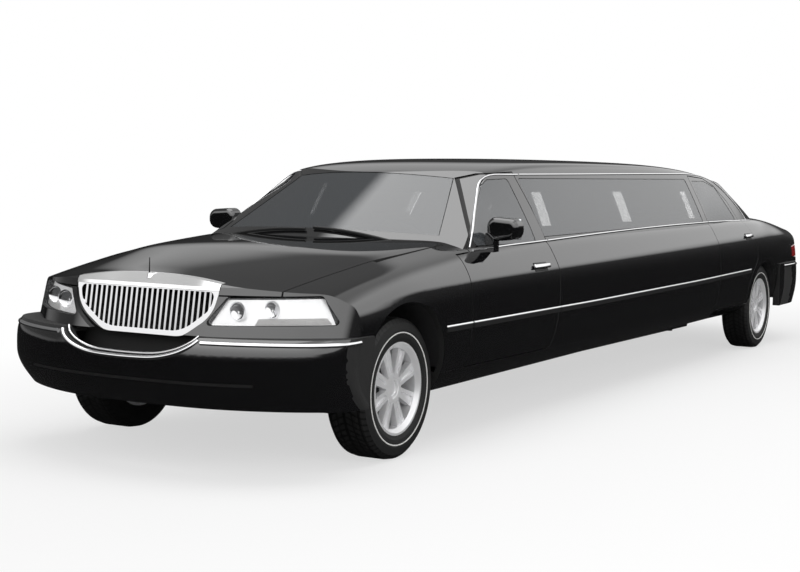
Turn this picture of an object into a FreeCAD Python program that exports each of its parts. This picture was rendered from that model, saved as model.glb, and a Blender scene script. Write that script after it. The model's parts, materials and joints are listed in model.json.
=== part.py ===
import FreeCAD
import Part
import math
import os

V = FreeCAD.Vector

# Stretch limousine: a full size saloon with a long body section let in between its front and
# rear doors. X points forward, Y to the left, Z up, in millimetres, with the origin on the
# floor under the middle of the car. A body panel is cut from one smooth outer skin, so
# neighbouring panels line up, and each panel is as thick as the real door or wall.

# Driving dimensions
WHEELBASE = 6038.0
FRONT_OVERHANG = 1010.0
REAR_OVERHANG = 1471.0
BODY_WIDTH = 1976.0
HEIGHT = 1517.0
FRONT_TRACK = 1610.0
REAR_TRACK = 1640.0
TYRE_RADIUS = 351.0
TYRE_WIDTH = 225.0
RIM_RADIUS = 231.0

# Panels, glass and running gaps
DOOR_THICKNESS = 90.0
FENDER_THICKNESS = 30.0
LID_THICKNESS = 28.0
PILLAR_THICKNESS = 46.0
GLASS_THICKNESS = 5.0
GLASS_INSET = 2.0
SEAT_CLEARANCE = 0.3
PANEL_GAP = 7.0
OVERRUN = 60.0

# Doors, hood and trunk, measured from the front axle unless a name says otherwise
FRONT_DOOR_FRONT = 640.0
FRONT_DOOR_REAR = 1722.0
REAR_DOOR_FRONT_FROM_REAR_AXLE = 1238.0
REAR_DOOR_REAR_FROM_REAR_AXLE = 262.0
DOOR_BOTTOM_Z = 398.0
DOOR_TAPER_SHARE = 0.36
COWL_SETBACK = 690.0
DECK_FRONT_FROM_REAR_AXLE = 420.0
TRUNK_MOUTH_Z = 700.0

LENGTH = FRONT_OVERHANG + WHEELBASE + REAR_OVERHANG
HALF_WIDTH = BODY_WIDTH / 2
FRONT_AXLE_X = LENGTH / 2 - FRONT_OVERHANG
REAR_AXLE_X = FRONT_AXLE_X - WHEELBASE
REACH = 2 * LENGTH

# Places along the car run from -1 at the nose over 0 at the front axle and 1 at the rear axle
# to 2 at the tail. Every line of the outer skin is a short table of such places, each with a
# share of the half width and a share of the height.
STATION_SHARES = (-1.15, -0.85, -0.6, -0.38, -0.18, 0.0, 0.05, 0.09, 0.13, 0.2, 0.32, 0.45,
                  0.58, 0.71, 0.83, 0.93, 1.0, 1.2, 1.42, 1.64, 1.86, 2.12)

SILL_SHARES = ((-1.0, 0.872, 0.182), (0.06, 0.872, 0.19), (0.95, 0.872, 0.22), (2.0, 0.86, 0.25))
SILL_EDGE_SHARES = ((-1.0, 0.92, 0.215), (0.06, 0.92, 0.22), (0.95, 0.92, 0.245), (2.0, 0.9, 0.275))
CREASE_SHARES = ((-1.0, 0.945, 0.262), (0.95, 0.958, 0.264), (2.0, 0.92, 0.3))
LOW_SIDE_SHARES = ((-1.0, 0.96, 0.32), (0.0, 0.984, 0.32), (1.1, 0.984, 0.325), (2.0, 0.93, 0.34))
BULGE_SHARES = ((-1.0, 0.955, 0.405), (-0.3, 0.99, 0.405), (0.1, 1.0, 0.41), (1.1, 1.0, 0.425),
                (2.0, 0.935, 0.43))
HIGH_SIDE_SHARES = ((-1.0, 0.94, 0.47), (-0.3, 0.985, 0.48), (0.1, 0.998, 0.49),
                    (1.1, 0.998, 0.505), (2.0, 0.925, 0.5))
UNDER_SHOULDER_SHARES = ((-1.0, 0.925, 0.495), (0.0, 0.985, 0.53), (0.13, 0.99, 0.545),
                         (0.5, 0.99, 0.56), (1.1, 0.985, 0.585), (2.0, 0.905, 0.545))
SHOULDER_SHARES = ((-1.0, 0.9, 0.475), (-0.5, 0.945, 0.526), (0.0, 0.975, 0.562),
                   (0.13, 0.98, 0.572), (0.5, 0.98, 0.588), (1.0, 0.972, 0.618),
                   (1.5, 0.945, 0.612), (2.0, 0.885, 0.572))
HAUNCH_SHARES = ((-1.0, 0.86, 0.49), (-0.5, 0.905, 0.55), (0.0, 0.94, 0.596),
                 (0.13, 0.945, 0.618), (0.5, 0.945, 0.635), (1.0, 0.93, 0.665),
                 (1.5, 0.89, 0.648), (2.0, 0.83, 0.595))
BELT_SHARES = ((-1.0, 0.81, 0.5), (-0.5, 0.865, 0.568), (0.0, 0.897, 0.618),
               (0.13, 0.905, 0.655), (0.3, 0.905, 0.68), (0.5, 0.905, 0.688), (0.9, 0.895, 0.704),
               (1.2, 0.865, 0.698), (1.5, 0.835, 0.672), (2.0, 0.78, 0.61))
INNER_BELT_SHARES = ((-1.0, 0.74, 0.508), (-0.5, 0.79, 0.58), (0.0, 0.825, 0.632),
                     (0.13, 0.84, 0.672), (0.3, 0.84, 0.695), (0.9, 0.83, 0.716),
                     (1.2, 0.79, 0.707), (1.5, 0.765, 0.68), (2.0, 0.715, 0.618))
SEAM_SHARES = ((-1.0, 0.66, 0.525), (-0.5, 0.71, 0.59), (0.0, 0.755, 0.642), (0.12, 0.785, 0.681),
               (0.3, 0.76, 0.7), (0.9, 0.74, 0.722), (1.2, 0.71, 0.714), (1.5, 0.69, 0.688),
               (2.0, 0.65, 0.626))
HOOD_CREASE_SHARES = ((-1.0, 0.41, 0.556), (-0.5, 0.52, 0.612), (0.0, 0.65, 0.663),
                      (0.12, 0.73, 0.694), (0.3, 0.62, 0.704), (0.9, 0.6, 0.726),
                      (1.2, 0.58, 0.719), (1.5, 0.56, 0.694), (2.0, 0.53, 0.634))
CROWN_SIDE_SHARES = ((-1.0, 0.22, 0.58), (-0.5, 0.28, 0.628), (0.0, 0.33, 0.675),
                     (0.12, 0.36, 0.7), (0.9, 0.3, 0.73), (1.2, 0.3, 0.724), (1.5, 0.3, 0.7),
                     (2.0, 0.28, 0.641))
CROWN_SHARES = ((-1.0, 0.0, 0.586), (-0.5, 0.0, 0.631), (0.0, 0.0, 0.677), (0.12, 0.0, 0.702),
                (0.9, 0.0, 0.731), (1.2, 0.0, 0.726), (1.5, 0.0, 0.703), (2.0, 0.0, 0.643))
HULL_LINES = (SILL_SHARES, SILL_EDGE_SHARES, CREASE_SHARES, LOW_SIDE_SHARES, BULGE_SHARES,
              HIGH_SIDE_SHARES, UNDER_SHOULDER_SHARES, SHOULDER_SHARES, HAUNCH_SHARES,
              BELT_SHARES, INNER_BELT_SHARES, SEAM_SHARES, HOOD_CREASE_SHARES,
              CROWN_SIDE_SHARES, CROWN_SHARES)

# The roof and side glass skin, in the same shares
ROOF_STATION_SHARES = (0.03, 0.1, 0.15, 0.19, 0.22, 0.25, 0.29, 0.35, 0.45, 0.57, 0.69, 0.79, 0.86,
                       0.92, 0.97, 1.06, 1.2, 1.35, 1.5)
FOOT_SHARES = ((0.0, 0.86, 0.62), (0.13, 0.872, 0.635), (0.2, 0.9, 0.648), (0.28, 0.912, 0.652),
               (0.8, 0.912, 0.662), (0.95, 0.88, 0.665), (1.2, 0.81, 0.66), (1.5, 0.72, 0.64))
GLASS_BASE_SHARES = ((0.0, 0.84, 0.655), (0.13, 0.862, 0.675), (0.2, 0.883, 0.688),
                     (0.28, 0.896, 0.691), (0.8, 0.89, 0.7), (0.95, 0.855, 0.703),
                     (1.2, 0.785, 0.69), (1.5, 0.7, 0.665))
GLASS_MIDDLE_SHARES = ((0.0, 0.74, 0.72), (0.13, 0.757, 0.76), (0.2, 0.768, 0.8), (0.28, 0.802, 0.808),
                       (0.36, 0.81, 0.813), (0.8, 0.804, 0.822), (0.95, 0.776, 0.8),
                       (1.2, 0.72, 0.73), (1.5, 0.65, 0.69))
GLASS_TOP_SHARES = ((0.0, 0.655, 0.765), (0.13, 0.66, 0.83), (0.2, 0.668, 0.882),
                    (0.235, 0.682, 0.91), (0.28, 0.697, 0.926), (0.36, 0.704, 0.942),
                    (0.5, 0.702, 0.95), (0.7, 0.704, 0.948), (0.82, 0.71, 0.93),
                    (0.95, 0.7, 0.87), (1.2, 0.66, 0.77), (1.5, 0.6, 0.71))
RAIL_SHARES = ((0.0, 0.635, 0.775), (0.13, 0.642, 0.845), (0.2, 0.652, 0.9), (0.235, 0.664, 0.933),
               (0.28, 0.679, 0.951), (0.36, 0.686, 0.966), (0.5, 0.686, 0.975), (0.7, 0.688, 0.972),
               (0.82, 0.694, 0.953), (0.95, 0.684, 0.893), (1.2, 0.645, 0.788), (1.5, 0.58, 0.72))
ROOF_EDGE_SHARES = ((0.0, 0.585, 0.782), (0.13, 0.59, 0.856), (0.2, 0.602, 0.913),
                    (0.235, 0.615, 0.945), (0.28, 0.628, 0.963), (0.36, 0.633, 0.98),
                    (0.5, 0.632, 0.989), (0.7, 0.634, 0.987), (0.82, 0.64, 0.97),
                    (0.95, 0.63, 0.912), (1.2, 0.59, 0.805), (1.5, 0.53, 0.73))
ROOF_SIDE_SHARES = ((0.0, 0.4, 0.79), (0.13, 0.4, 0.87), (0.2, 0.4, 0.932), (0.235, 0.405, 0.959),
                    (0.28, 0.41, 0.976), (0.36, 0.41, 0.99), (0.5, 0.41, 0.998), (0.7, 0.41, 0.997),
                    (0.82, 0.41, 0.983), (0.95, 0.4, 0.93), (1.2, 0.38, 0.823), (1.5, 0.34, 0.74))
ROOF_CROWN_SHARES = ((0.0, 0.0, 0.795), (0.13, 0.0, 0.876), (0.2, 0.0, 0.94), (0.235, 0.0, 0.965),
                     (0.28, 0.0, 0.981), (0.36, 0.0, 0.994), (0.5, 0.0, 1.002), (0.7, 0.0, 1.001),
                     (0.82, 0.0, 0.988), (0.95, 0.0, 0.937), (1.2, 0.0, 0.83), (1.5, 0.0, 0.745))
ROOF_LINES = (FOOT_SHARES, GLASS_BASE_SHARES, GLASS_MIDDLE_SHARES, GLASS_TOP_SHARES, RAIL_SHARES,
              ROOF_EDGE_SHARES, ROOF_SIDE_SHARES, ROOF_CROWN_SHARES)

# Outlines of the nose and the tail seen from above: a share of the overhang ahead of or behind
# the axle, and a share of the half width
NOSE_SHARES = ((0.866, 0.0), (0.868, 0.2), (0.866, 0.385), (0.84, 0.48), (0.75, 0.66),
               (0.673, 0.77), (0.602, 0.85), (0.535, 0.918), (0.446, 0.967), (0.356, 1.0))
TAIL_SHARES = ((0.955, 0.0), (0.95, 0.25), (0.93, 0.45), (0.89, 0.64), (0.83, 0.8),
               (0.74, 0.92), (0.62, 1.0))
NOSE_RAKE_SHARE = 0.3
NOSE_TOP_RAKE_SHARE = 0.8
NOSE_TOP_Z = 870.0
TAIL_RAKE_SHARE = 0.12
NOSE_LEVEL_Z = 700.0
SKIN_TOP_Z = 1150.0

# Bumpers: outline from above as for the nose, then a profile of heights with setbacks
BUMPER_SHARES = ((1.0, 0.0), (0.994, 0.22), (0.96, 0.45), (0.885, 0.66), (0.79, 0.83),
                 (0.69, 0.94), (0.6, 0.982), (0.5, 0.985))
REAR_BUMPER_SHARES = ((1.0, 0.0), (0.995, 0.3), (0.97, 0.52), (0.92, 0.7), (0.84, 0.85),
                      (0.72, 0.95), (0.55, 0.985), (0.36, 0.99))
BUMPER_BOTTOM_Z = 312.0
BUMPER_TOP_Z = 648.0
REAR_BUMPER_BOTTOM_Z = 330.0
REAR_BUMPER_TOP_Z = 690.0
BUMPER_TUCK = 120.0
BUMPER_THICKNESS = 55.0
BUMPER_PROFILE_SHARES = ((0.0, 1.0), (0.1, 0.72), (0.25, 0.3), (0.45, 0.0), (0.6, 0.0), (0.75, 0.0),
                         (0.92, 0.08), (1.0, 0.34))

# The dip of the front bumper below the grille, and the slots in its lower face
BUMPER_DIP_SHARES = ((0.41, 1.0), (0.375, 0.72), (0.33, 0.5), (0.27, 0.27), (0.19, 0.08), (0.0, 0.0))
BUMPER_DIP_Z = 538.0
BUMPER_SLOTS = 3
SLOT_LOW_Z = 350.0
SLOT_PITCH = 42.0
SLOT_HEIGHT = 14.0
SLOT_DEPTH = 9.0
SLOT_HALF = 660.0
BUMPER_BACK_SHARE = 0.9
ARCH_SEAM_SHARE = 0.98

# Wheel arches
ARCH_HALF_WIDTH = 400.0
ARCH_TOP_Z = 782.0
REAR_ARCH_HALF_WIDTH = 388.0
REAR_ARCH_TOP_Z = 732.0
ARCH_AXLE_SHARE = 0.42
ARCH_SHARES = ((-0.96, 0.3), (-0.95, 0.42), (-0.88, 0.62), (-0.7, 0.82), (-0.4, 0.95),
               (0.0, 1.0), (0.42, 0.965), (0.78, 0.85), (0.98, 0.62), (1.02, 0.42), (1.02, 0.3))

# Windshield and rear window, as bowed sheets
WINDSHIELD_BASE_SETBACK = 545.0
WINDSHIELD_BASE_Z = 1068.0
WINDSHIELD_RUN = 635.0
WINDSHIELD_RISE = 351.0
WINDSHIELD_BOW = 205.0
BACKLIGHT_BASE_SETBACK = 330.0
BACKLIGHT_BASE_Z = 1100.0
BACKLIGHT_RUN = 600.0
BACKLIGHT_RISE = 340.0
BACKLIGHT_BOW = 180.0
SHEET_SAG_LOW = 30.0
SHEET_SAG_GROWTH = 40.0
SHEET_EDGE_Y = 745.0


def along(share):
    # the place of a share of the body's length, in millimetres
    if share < 0:
        return FRONT_AXLE_X - share * FRONT_OVERHANG
    if share <= 1:
        return FRONT_AXLE_X - share * WHEELBASE
    return REAR_AXLE_X - (share - 1) * REAR_OVERHANG


def line_at(line, share):
    # a skin line's half width and height at a place along the body
    if share <= line[0][0]:
        return line[0][1] * HALF_WIDTH, line[0][2] * HEIGHT
    for (a, ya, za), (b, yb, zb) in zip(line, line[1:]):
        if share <= b:
            t = (share - a) / (b - a)
            return (ya + t * (yb - ya)) * HALF_WIDTH, (za + t * (zb - za)) * HEIGHT
    return line[-1][1] * HALF_WIDTH, line[-1][2] * HEIGHT


def half_section(lines, share, inset):
    # the skin's control points at one place, moved inwards by the inset
    points = [line_at(line, share) for line in lines]
    moved = []
    for i, (y, z) in enumerate(points):
        y0, z0 = points[max(i - 1, 0)]
        y1, z1 = points[min(i + 1, len(points) - 1)]
        if i == len(points) - 1:
            ny, nz = 0.0, 1.0
        else:
            size = math.hypot(y1 - y0, z1 - z0)
            ny, nz = (z1 - z0) / size, (y0 - y1) / size
        moved.append((y - inset * ny, z - inset * nz))
    return moved


def knots_for(count, degree):
    inner = count - degree
    return [float(i) for i in range(inner + 1)], [degree + 1] + [1] * (inner - 1) + [degree + 1]


def skin_solid(lines, stations, inset):
    # one smooth skin over the stations, closed by flat ends and a ruled floor
    rows = []
    for share in stations:
        half = half_section(lines, share, inset)
        full = [(-y, z) for y, z in half] + [(y, z) for y, z in reversed(half[:-1])]
        rows.append([V(along(share), y, z) for y, z in full])
    degree = 3
    uk, um = knots_for(len(rows), degree)
    vk, vm = knots_for(len(rows[0]), degree)
    surface = Part.BSplineSurface()
    surface.buildFromPolesMultsKnots(rows, um, vm, uk, vk, False, False, degree, degree)
    skin = surface.toShape()
    right = surface.vIso(vk[0]).toShape()
    left = surface.vIso(vk[-1]).toShape()
    floor = Part.makeRuledSurface(right, left)
    ends = []
    for u, row in ((uk[0], rows[0]), (uk[-1], rows[-1])):
        arc = surface.uIso(u).toShape()
        ends.append(Part.Face(Part.Wire([arc, Part.makeLine(row[-1], row[0])])))
    shell = Part.makeShell([skin, floor] + ends)
    shell.sewShape()
    solid = Part.Solid(shell.Shells[0] if shell.ShapeType != "Shell" else shell)
    if solid.Volume < 0:
        solid.reverse()
    return solid


def spline(points):
    curve = Part.BSplineCurve()
    curve.interpolate(points)
    return curve.toShape()


def plan_outline(shares, axle_x, overhang, direction, setback):
    # half of a nose or tail outline as points on the left side
    return [V(axle_x + direction * (f * overhang - setback), w * (HALF_WIDTH + OVERRUN / 6), 0)
            for f, w in shares]


def mirrored(points):
    right = [V(p.x, -p.y, p.z) for p in reversed(points[1:])]
    return right + points


def at_height(points, z):
    return [V(p.x, p.y, z) for p in points]


def end_block(shares, axle_x, overhang, direction, levels, back_x):
    # a block behind an end outline; levels are heights, each with its setback
    wires = []
    for z, setback in levels:
        points = mirrored(plan_outline(shares, axle_x, overhang, direction, setback))
        edge = spline(at_height(points, z))
        a, b = at_height([points[0], points[-1]], z)
        c = V(back_x, b.y, z)
        d = V(back_x, a.y, z)
        wires.append(Part.Wire([edge, Part.makeLine(b, c), Part.makeLine(c, d),
                                Part.makeLine(d, a)]))
    return Part.makeLoft(wires, True, len(levels) == 2)


def box(x0, x1, y0, y1, z0, z1):
    return Part.makeBox(x1 - x0, y1 - y0, z1 - z0, V(x0, y0, z0))


def polygon_face(points):
    return Part.Face(Part.makePolygon(points + [points[0]]))


def prism_y(outline, y0, y1):
    # a prism across the car from (x, z) points
    face = polygon_face([V(x, y0, z) for x, z in outline])
    return face.extrude(V(0, y1 - y0, 0))


def prism_z(outline, z0, z1):
    face = polygon_face([V(x, y, z0) for x, y in outline])
    return face.extrude(V(0, 0, z1 - z0))


def prism_x(outline, x0, x1):
    face = polygon_face([V(x0, y, z) for y, z in outline])
    return face.extrude(V(x1 - x0, 0, 0))


CORNER_SHARE = 0.45
CLOSED_SHARE = 1e-6


def rounded(points, radius):
    # a closed outline of (a, b) points with every corner cut to an arc, as points for an arc
    corners = []
    count = len(points)
    for i, (a, b) in enumerate(points):
        r = radius[i] if isinstance(radius, (list, tuple)) else radius
        pa, pb = points[i - 1]
        na, nb = points[(i + 1) % count]
        la, lb = math.hypot(pa - a, pb - b), math.hypot(na - a, nb - b)
        ua, ub = (pa - a) / la, (pb - b) / la
        va, vb = (na - a) / lb, (nb - b) / lb
        angle = math.acos(max(-1, min(1, ua * va + ub * vb)))
        cut = min(r / math.tan(angle / 2), la * CORNER_SHARE, lb * CORNER_SHARE)
        real = cut * math.tan(angle / 2)
        start = (a + ua * cut, b + ub * cut)
        end = (a + va * cut, b + vb * cut)
        size = math.hypot(ua + va, ub + vb)
        reach = real / math.sin(angle / 2) - real
        middle = (a + (ua + va) / size * reach, b + (ub + vb) / size * reach)
        corners.append((start, middle, end))
    return corners


def rounded_wire(points, radius, place):
    # the rounded outline as a wire; place turns (a, b) into a point in space
    corners = rounded(points, radius)
    edges = []
    for i, (start, middle, end) in enumerate(corners):
        edges.append(Part.Arc(place(*start), place(*middle), place(*end)).toShape())
        nxt = corners[(i + 1) % len(corners)][0]
        if math.hypot(nxt[0] - end[0], nxt[1] - end[1]) > CLOSED_SHARE * LENGTH:
            edges.append(Part.makeLine(place(*end), place(*nxt)))
    return Part.Wire(edges)


def rounded_prism(points, radius, place, depth):
    return Part.Face(rounded_wire(points, radius, place)).extrude(depth)


def both_sides(shape):
    return [shape, shape.mirror(V(0, 0, 0), V(0, 1, 0))]


def left_right(shapes):
    return Part.makeCompound([s for shape in shapes for s in both_sides(shape)])


def largest(shape):
    return max(shape.Solids, key=lambda s: s.Volume)


def cylinder(radius, height, base, axis):
    return Part.makeCylinder(radius, height, base, axis)


# The two skins, each at several insets
def hull(inset):
    skin = skin_solid(HULL_LINES, STATION_SHARES, inset)
    nose_levels = [(z, inset + NOSE_RAKE_SHARE * (z - NOSE_LEVEL_Z)) for z in (-OVERRUN, SKIN_TOP_Z)]
    tail_levels = [(z, inset + TAIL_RAKE_SHARE * (z - NOSE_LEVEL_Z)) for z in (-OVERRUN, SKIN_TOP_Z)]
    nose = end_block(NOSE_SHARES, FRONT_AXLE_X, FRONT_OVERHANG, 1, nose_levels, -LENGTH)
    top_start = NOSE_RAKE_SHARE * (NOSE_TOP_Z - NOSE_LEVEL_Z) + inset * math.hypot(1, NOSE_TOP_RAKE_SHARE)
    top_levels = [(z, top_start + NOSE_TOP_RAKE_SHARE * (z - NOSE_TOP_Z)) for z in (-OVERRUN, SKIN_TOP_Z)]
    brow = end_block(NOSE_SHARES, FRONT_AXLE_X, FRONT_OVERHANG, 1, top_levels, -LENGTH)
    nose = nose.common(brow)
    tail = end_block(TAIL_SHARES, REAR_AXLE_X, REAR_OVERHANG, -1, tail_levels, LENGTH)
    return largest(skin.common(nose).common(tail))


def sheet_sizes(front):
    # the base point, run, rise, direction and bow of a window sheet
    if front:
        return (FRONT_AXLE_X - WINDSHIELD_BASE_SETBACK, WINDSHIELD_BASE_Z, WINDSHIELD_RUN,
                WINDSHIELD_RISE, -1, WINDSHIELD_BOW)
    return (REAR_AXLE_X - BACKLIGHT_BASE_SETBACK, BACKLIGHT_BASE_Z, BACKLIGHT_RUN,
            BACKLIGHT_RISE, 1, BACKLIGHT_BOW)


def sheet_point(sizes, y, t):
    # a point of a bowed window sheet: y across, t from the base to the top
    base_x, base_z, run, rise, direction, bow = sizes
    side = (y / SHEET_EDGE_Y) ** 2
    x = base_x + direction * (run * t + bow * side)
    z = base_z + rise * t - side * (SHEET_SAG_LOW + SHEET_SAG_GROWTH * t)
    return V(x, y, z)


def sheet_normal(sizes):
    slope = math.hypot(sizes[2], sizes[3])
    return V(-sizes[4] * sizes[3] / slope, 0, sizes[2] / slope)


SHEET_ACROSS_SHARES = (-1.4, -0.95, -0.5, 0.0, 0.5, 0.95, 1.4)
SHEET_ALONG_SHARES = (-0.6, 0.0, 0.5, 1.0, 1.7)


def window_sheet(front, inset):
    # the outer face of the windshield or rear window as a smooth sheet, moved inwards
    sizes = sheet_sizes(front)
    normal = sheet_normal(sizes)
    rows = [[sheet_point(sizes, across * SHEET_EDGE_Y, t) - normal * inset
             for t in SHEET_ALONG_SHARES] for across in SHEET_ACROSS_SHARES]
    surface = Part.BSplineSurface()
    surface.interpolate(rows)
    return surface.toShape()


def greenhouse(inset):
    skin = skin_solid(ROOF_LINES, ROOF_STATION_SHARES, inset)
    for front in (True, False):
        above = sheet_normal(sheet_sizes(front)) * HEIGHT
        skin = skin.cut(window_sheet(front, inset).extrude(above))
    return largest(skin)


WINDOW_STEP_SHARES = (-1.0, -0.5, 0.0, 0.5, 1.0)


def window_block(front, base_half, top_half, low, high, margin):
    # a block through a windshield or rear window, its ends bowed like the sheet
    sizes = sheet_sizes(front)
    normal = sheet_normal(sizes)
    base = V(sizes[0], 0, sizes[1])
    run = math.hypot(sizes[2], sizes[3])
    slope = V(sizes[4] * sizes[2] / run, 0, sizes[3] / run)
    bow = sizes[5] * sizes[2] / run

    def place(y, s):
        return base + slope * s + V(0, y, 0) - normal * (HEIGHT / 4)

    def edge(half, level):
        return spline([place(half * k, level + bow * (half * k / SHEET_EDGE_Y) ** 2)
                       for k in WINDOW_STEP_SHARES])

    bottom = edge(base_half - margin, low + margin)
    top = edge(top_half - margin, run - high - margin)
    a, b = bottom.Vertexes[0].Point, bottom.Vertexes[1].Point
    c, d = top.Vertexes[1].Point, top.Vertexes[0].Point
    wire = Part.Wire([bottom, Part.makeLine(b, c), top, Part.makeLine(d, a)])
    return Part.Face(wire).extrude(normal * (HEIGHT / 2))


# Side view outlines, as (x, z) points
MIDDLE_SHARE = 0.5


def side_y(z):
    # the skin's half width at a height, at the middle of the car
    lines = list(HULL_LINES[:10]) + list(ROOF_LINES[2:5])
    points = [line_at(line, MIDDLE_SHARE) for line in lines]
    for (ya, za), (yb, zb) in zip(points, points[1:]):
        if z <= zb:
            t = max(0.0, (z - za) / (zb - za))
            return ya + t * (yb - ya)
    return points[-1][0]


FRONT_DOOR_TOP_SHARES = ((0.0, 0.0), (0.139, 0.02), (0.6, 0.906), (0.7, 0.967))
FRONT_DOOR_FIXED = range(len(FRONT_DOOR_TOP_SHARES) + 1)
BELT_Z = line_at(BELT_SHARES, 0.2)[1]
RAIL_Z = line_at(RAIL_SHARES, 0.28)[1]
REAR_BELT_Z = line_at(BELT_SHARES, 0.85)[1]
FRAME_DEPTH = 22.0


def front_door_outline(grow):
    front = FRONT_AXLE_X - FRONT_DOOR_FRONT + grow
    rear = FRONT_AXLE_X - FRONT_DOOR_REAR - grow
    rise = RAIL_Z - FRAME_DEPTH - BELT_Z + OVERRUN / 2
    run = FRONT_DOOR_REAR - FRONT_DOOR_FRONT
    ahead = [(front - f * run, BELT_Z - OVERRUN / 2 + h * rise + grow)
             for f, h in FRONT_DOOR_TOP_SHARES]
    return ([(front, DOOR_BOTTOM_Z - grow)] + ahead
            + [(rear, RAIL_Z - FRAME_DEPTH + grow), (rear, DOOR_BOTTOM_Z - grow)])


REAR_DOOR_EDGE_SHARES = ((0.0, 0.205), (0.22, 0.21), (0.36, 0.16), (0.5, 0.035), (0.55, 0.0),
                         (0.7, 0.0), (0.85, 0.05), (1.0, 0.11))
REAR_DOOR_TOP_SHARES = ((1.0, 0.11, 0.0), (1.0, 0.2, 0.45), (1.0, 0.36, 0.78), (1.0, 0.6, 0.95),
                        (1.0, 1.0, 1.0))


def rear_door_outline(grow):
    front = REAR_AXLE_X + REAR_DOOR_FRONT_FROM_REAR_AXLE + grow
    rear = REAR_AXLE_X + REAR_DOOR_REAR_FROM_REAR_AXLE - grow
    run = REAR_DOOR_FRONT_FROM_REAR_AXLE - REAR_DOOR_REAR_FROM_REAR_AXLE
    low = DOOR_BOTTOM_Z - grow
    rise = REAR_BELT_Z - DOOR_BOTTOM_Z
    up = RAIL_Z - FRAME_DEPTH - REAR_BELT_Z
    edge = [(rear + f * run, low + h * rise) for h, f in REAR_DOOR_EDGE_SHARES]
    top = [(rear + f * run, REAR_BELT_Z + grow + h * up) for _, f, h in REAR_DOOR_TOP_SHARES[1:]]
    return [(front, low)] + edge + top[:-1] + [(front, RAIL_Z - FRAME_DEPTH + grow)]


def door_block(outline, fixed):
    # a block across the left side whose rear edge slants forward with depth, so that the
    # door's inner edge swings clear; points listed in fixed keep their place
    outer_y = HALF_WIDTH + OVERRUN
    inner_y = HALF_WIDTH / 2
    wires = []
    for level in (outer_y, inner_y):
        points = []
        for i, (x, z) in enumerate(outline):
            shift = 0.0 if i in fixed else DOOR_TAPER_SHARE * (side_y(z) - level)
            points.append(V(x + shift, level, z))
        wires.append(Part.makePolygon(points + [points[0]]))
    return Part.makeLoft(wires, True, True)


# Windows of the long side, as (x, z) outlines
PILLAR_WIDTH = 100.0
WINDOW_FRAME = 34.0
WINDOW_SILL_RISE = 8.5


def glass_band(x_front, x_rear, lift):
    # heights of the side glass between two places: bottom and top at each end
    return [(x_front, glass_low(x_front) + lift), (x_front, glass_high(x_front) - lift),
            (x_rear, glass_high(x_rear) - lift), (x_rear, glass_low(x_rear) + lift)]


def share_of(x):
    if x > FRONT_AXLE_X:
        return -(x - FRONT_AXLE_X) / FRONT_OVERHANG
    if x > REAR_AXLE_X:
        return (FRONT_AXLE_X - x) / WHEELBASE
    return 1 + (REAR_AXLE_X - x) / REAR_OVERHANG


def glass_low(x):
    return line_at(BELT_SHARES, share_of(x))[1] + WINDOW_FRAME / 2


def glass_high(x):
    return line_at(RAIL_SHARES, share_of(x))[1] - FRAME_DEPTH - WINDOW_FRAME


def side_prism(outline, radius):
    return rounded_prism(outline, radius, lambda x, z: V(x, HALF_WIDTH / 2, z),
                         V(0, HALF_WIDTH, 0))


FRONT_GLASS_SHARES = ((0.208, 0.0), (0.62, 0.89), (0.7, 0.98))


def front_glass_outline(margin):
    run = FRONT_DOOR_REAR - FRONT_DOOR_FRONT
    front = FRONT_AXLE_X - FRONT_DOOR_FRONT
    rear = FRONT_AXLE_X - FRONT_DOOR_REAR + PILLAR_WIDTH + margin
    low = BELT_Z + WINDOW_SILL_RISE + margin
    high = RAIL_Z - FRAME_DEPTH - WINDOW_FRAME - margin
    return ([(front - f * run - margin, low + h * (high - low)) for f, h in FRONT_GLASS_SHARES]
            + [(rear, high), (rear, low)])


REAR_GLASS_SHARES = ((0.62, 1.0), (0.36, 0.84))
REAR_GLASS_END_SHARE = 0.2


def rear_glass_outline(margin):
    run = REAR_DOOR_FRONT_FROM_REAR_AXLE - REAR_DOOR_REAR_FROM_REAR_AXLE
    front = REAR_AXLE_X + REAR_DOOR_FRONT_FROM_REAR_AXLE - WINDOW_FRAME - margin
    rear = REAR_AXLE_X + REAR_DOOR_REAR_FROM_REAR_AXLE
    low = REAR_BELT_Z + WINDOW_SILL_RISE + margin
    high = RAIL_Z - FRAME_DEPTH - WINDOW_FRAME - margin
    slope = [(rear + f * run, low + h * (high - low)) for f, h in REAR_GLASS_SHARES]
    return [(front, low), (front, high)] + slope + [(rear + REAR_GLASS_END_SHARE * run + margin, low)]


def long_glass_outline(margin):
    front = FRONT_AXLE_X - FRONT_DOOR_REAR - PANEL_GAP - WINDOW_FRAME / 2 - margin
    rear = REAR_AXLE_X + REAR_DOOR_FRONT_FROM_REAR_AXLE + PANEL_GAP + PILLAR_WIDTH + margin
    return glass_band(front, rear, margin)


# Wheel arch cut through the left side
def arch_block(axle_x, half_width, top_z, y0, y1, grow):
    rise = (top_z + grow - TYRE_RADIUS) / (1 - ARCH_AXLE_SHARE)
    points = [V(axle_x + f * (half_width + grow), y0, TYRE_RADIUS + (h - ARCH_AXLE_SHARE) * rise)
              for f, h in ARCH_SHARES]
    curve = spline(points)
    a, b = points[0], points[-1]
    c, d = V(b.x, y0, -OVERRUN), V(a.x, y0, -OVERRUN)
    wire = Part.Wire([curve, Part.makeLine(b, c), Part.makeLine(c, d), Part.makeLine(d, a)])
    return Part.Face(wire).extrude(V(0, y1 - y0, 0))


def across(outline, half):
    # a prism over the whole width from (x, z) points
    return prism_y(outline, -half, half)


def slab(shape, x0, x1, y0, y1, z0, z1):
    return shape.common(box(x0, x1, y0, y1, z0, z1))


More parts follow.
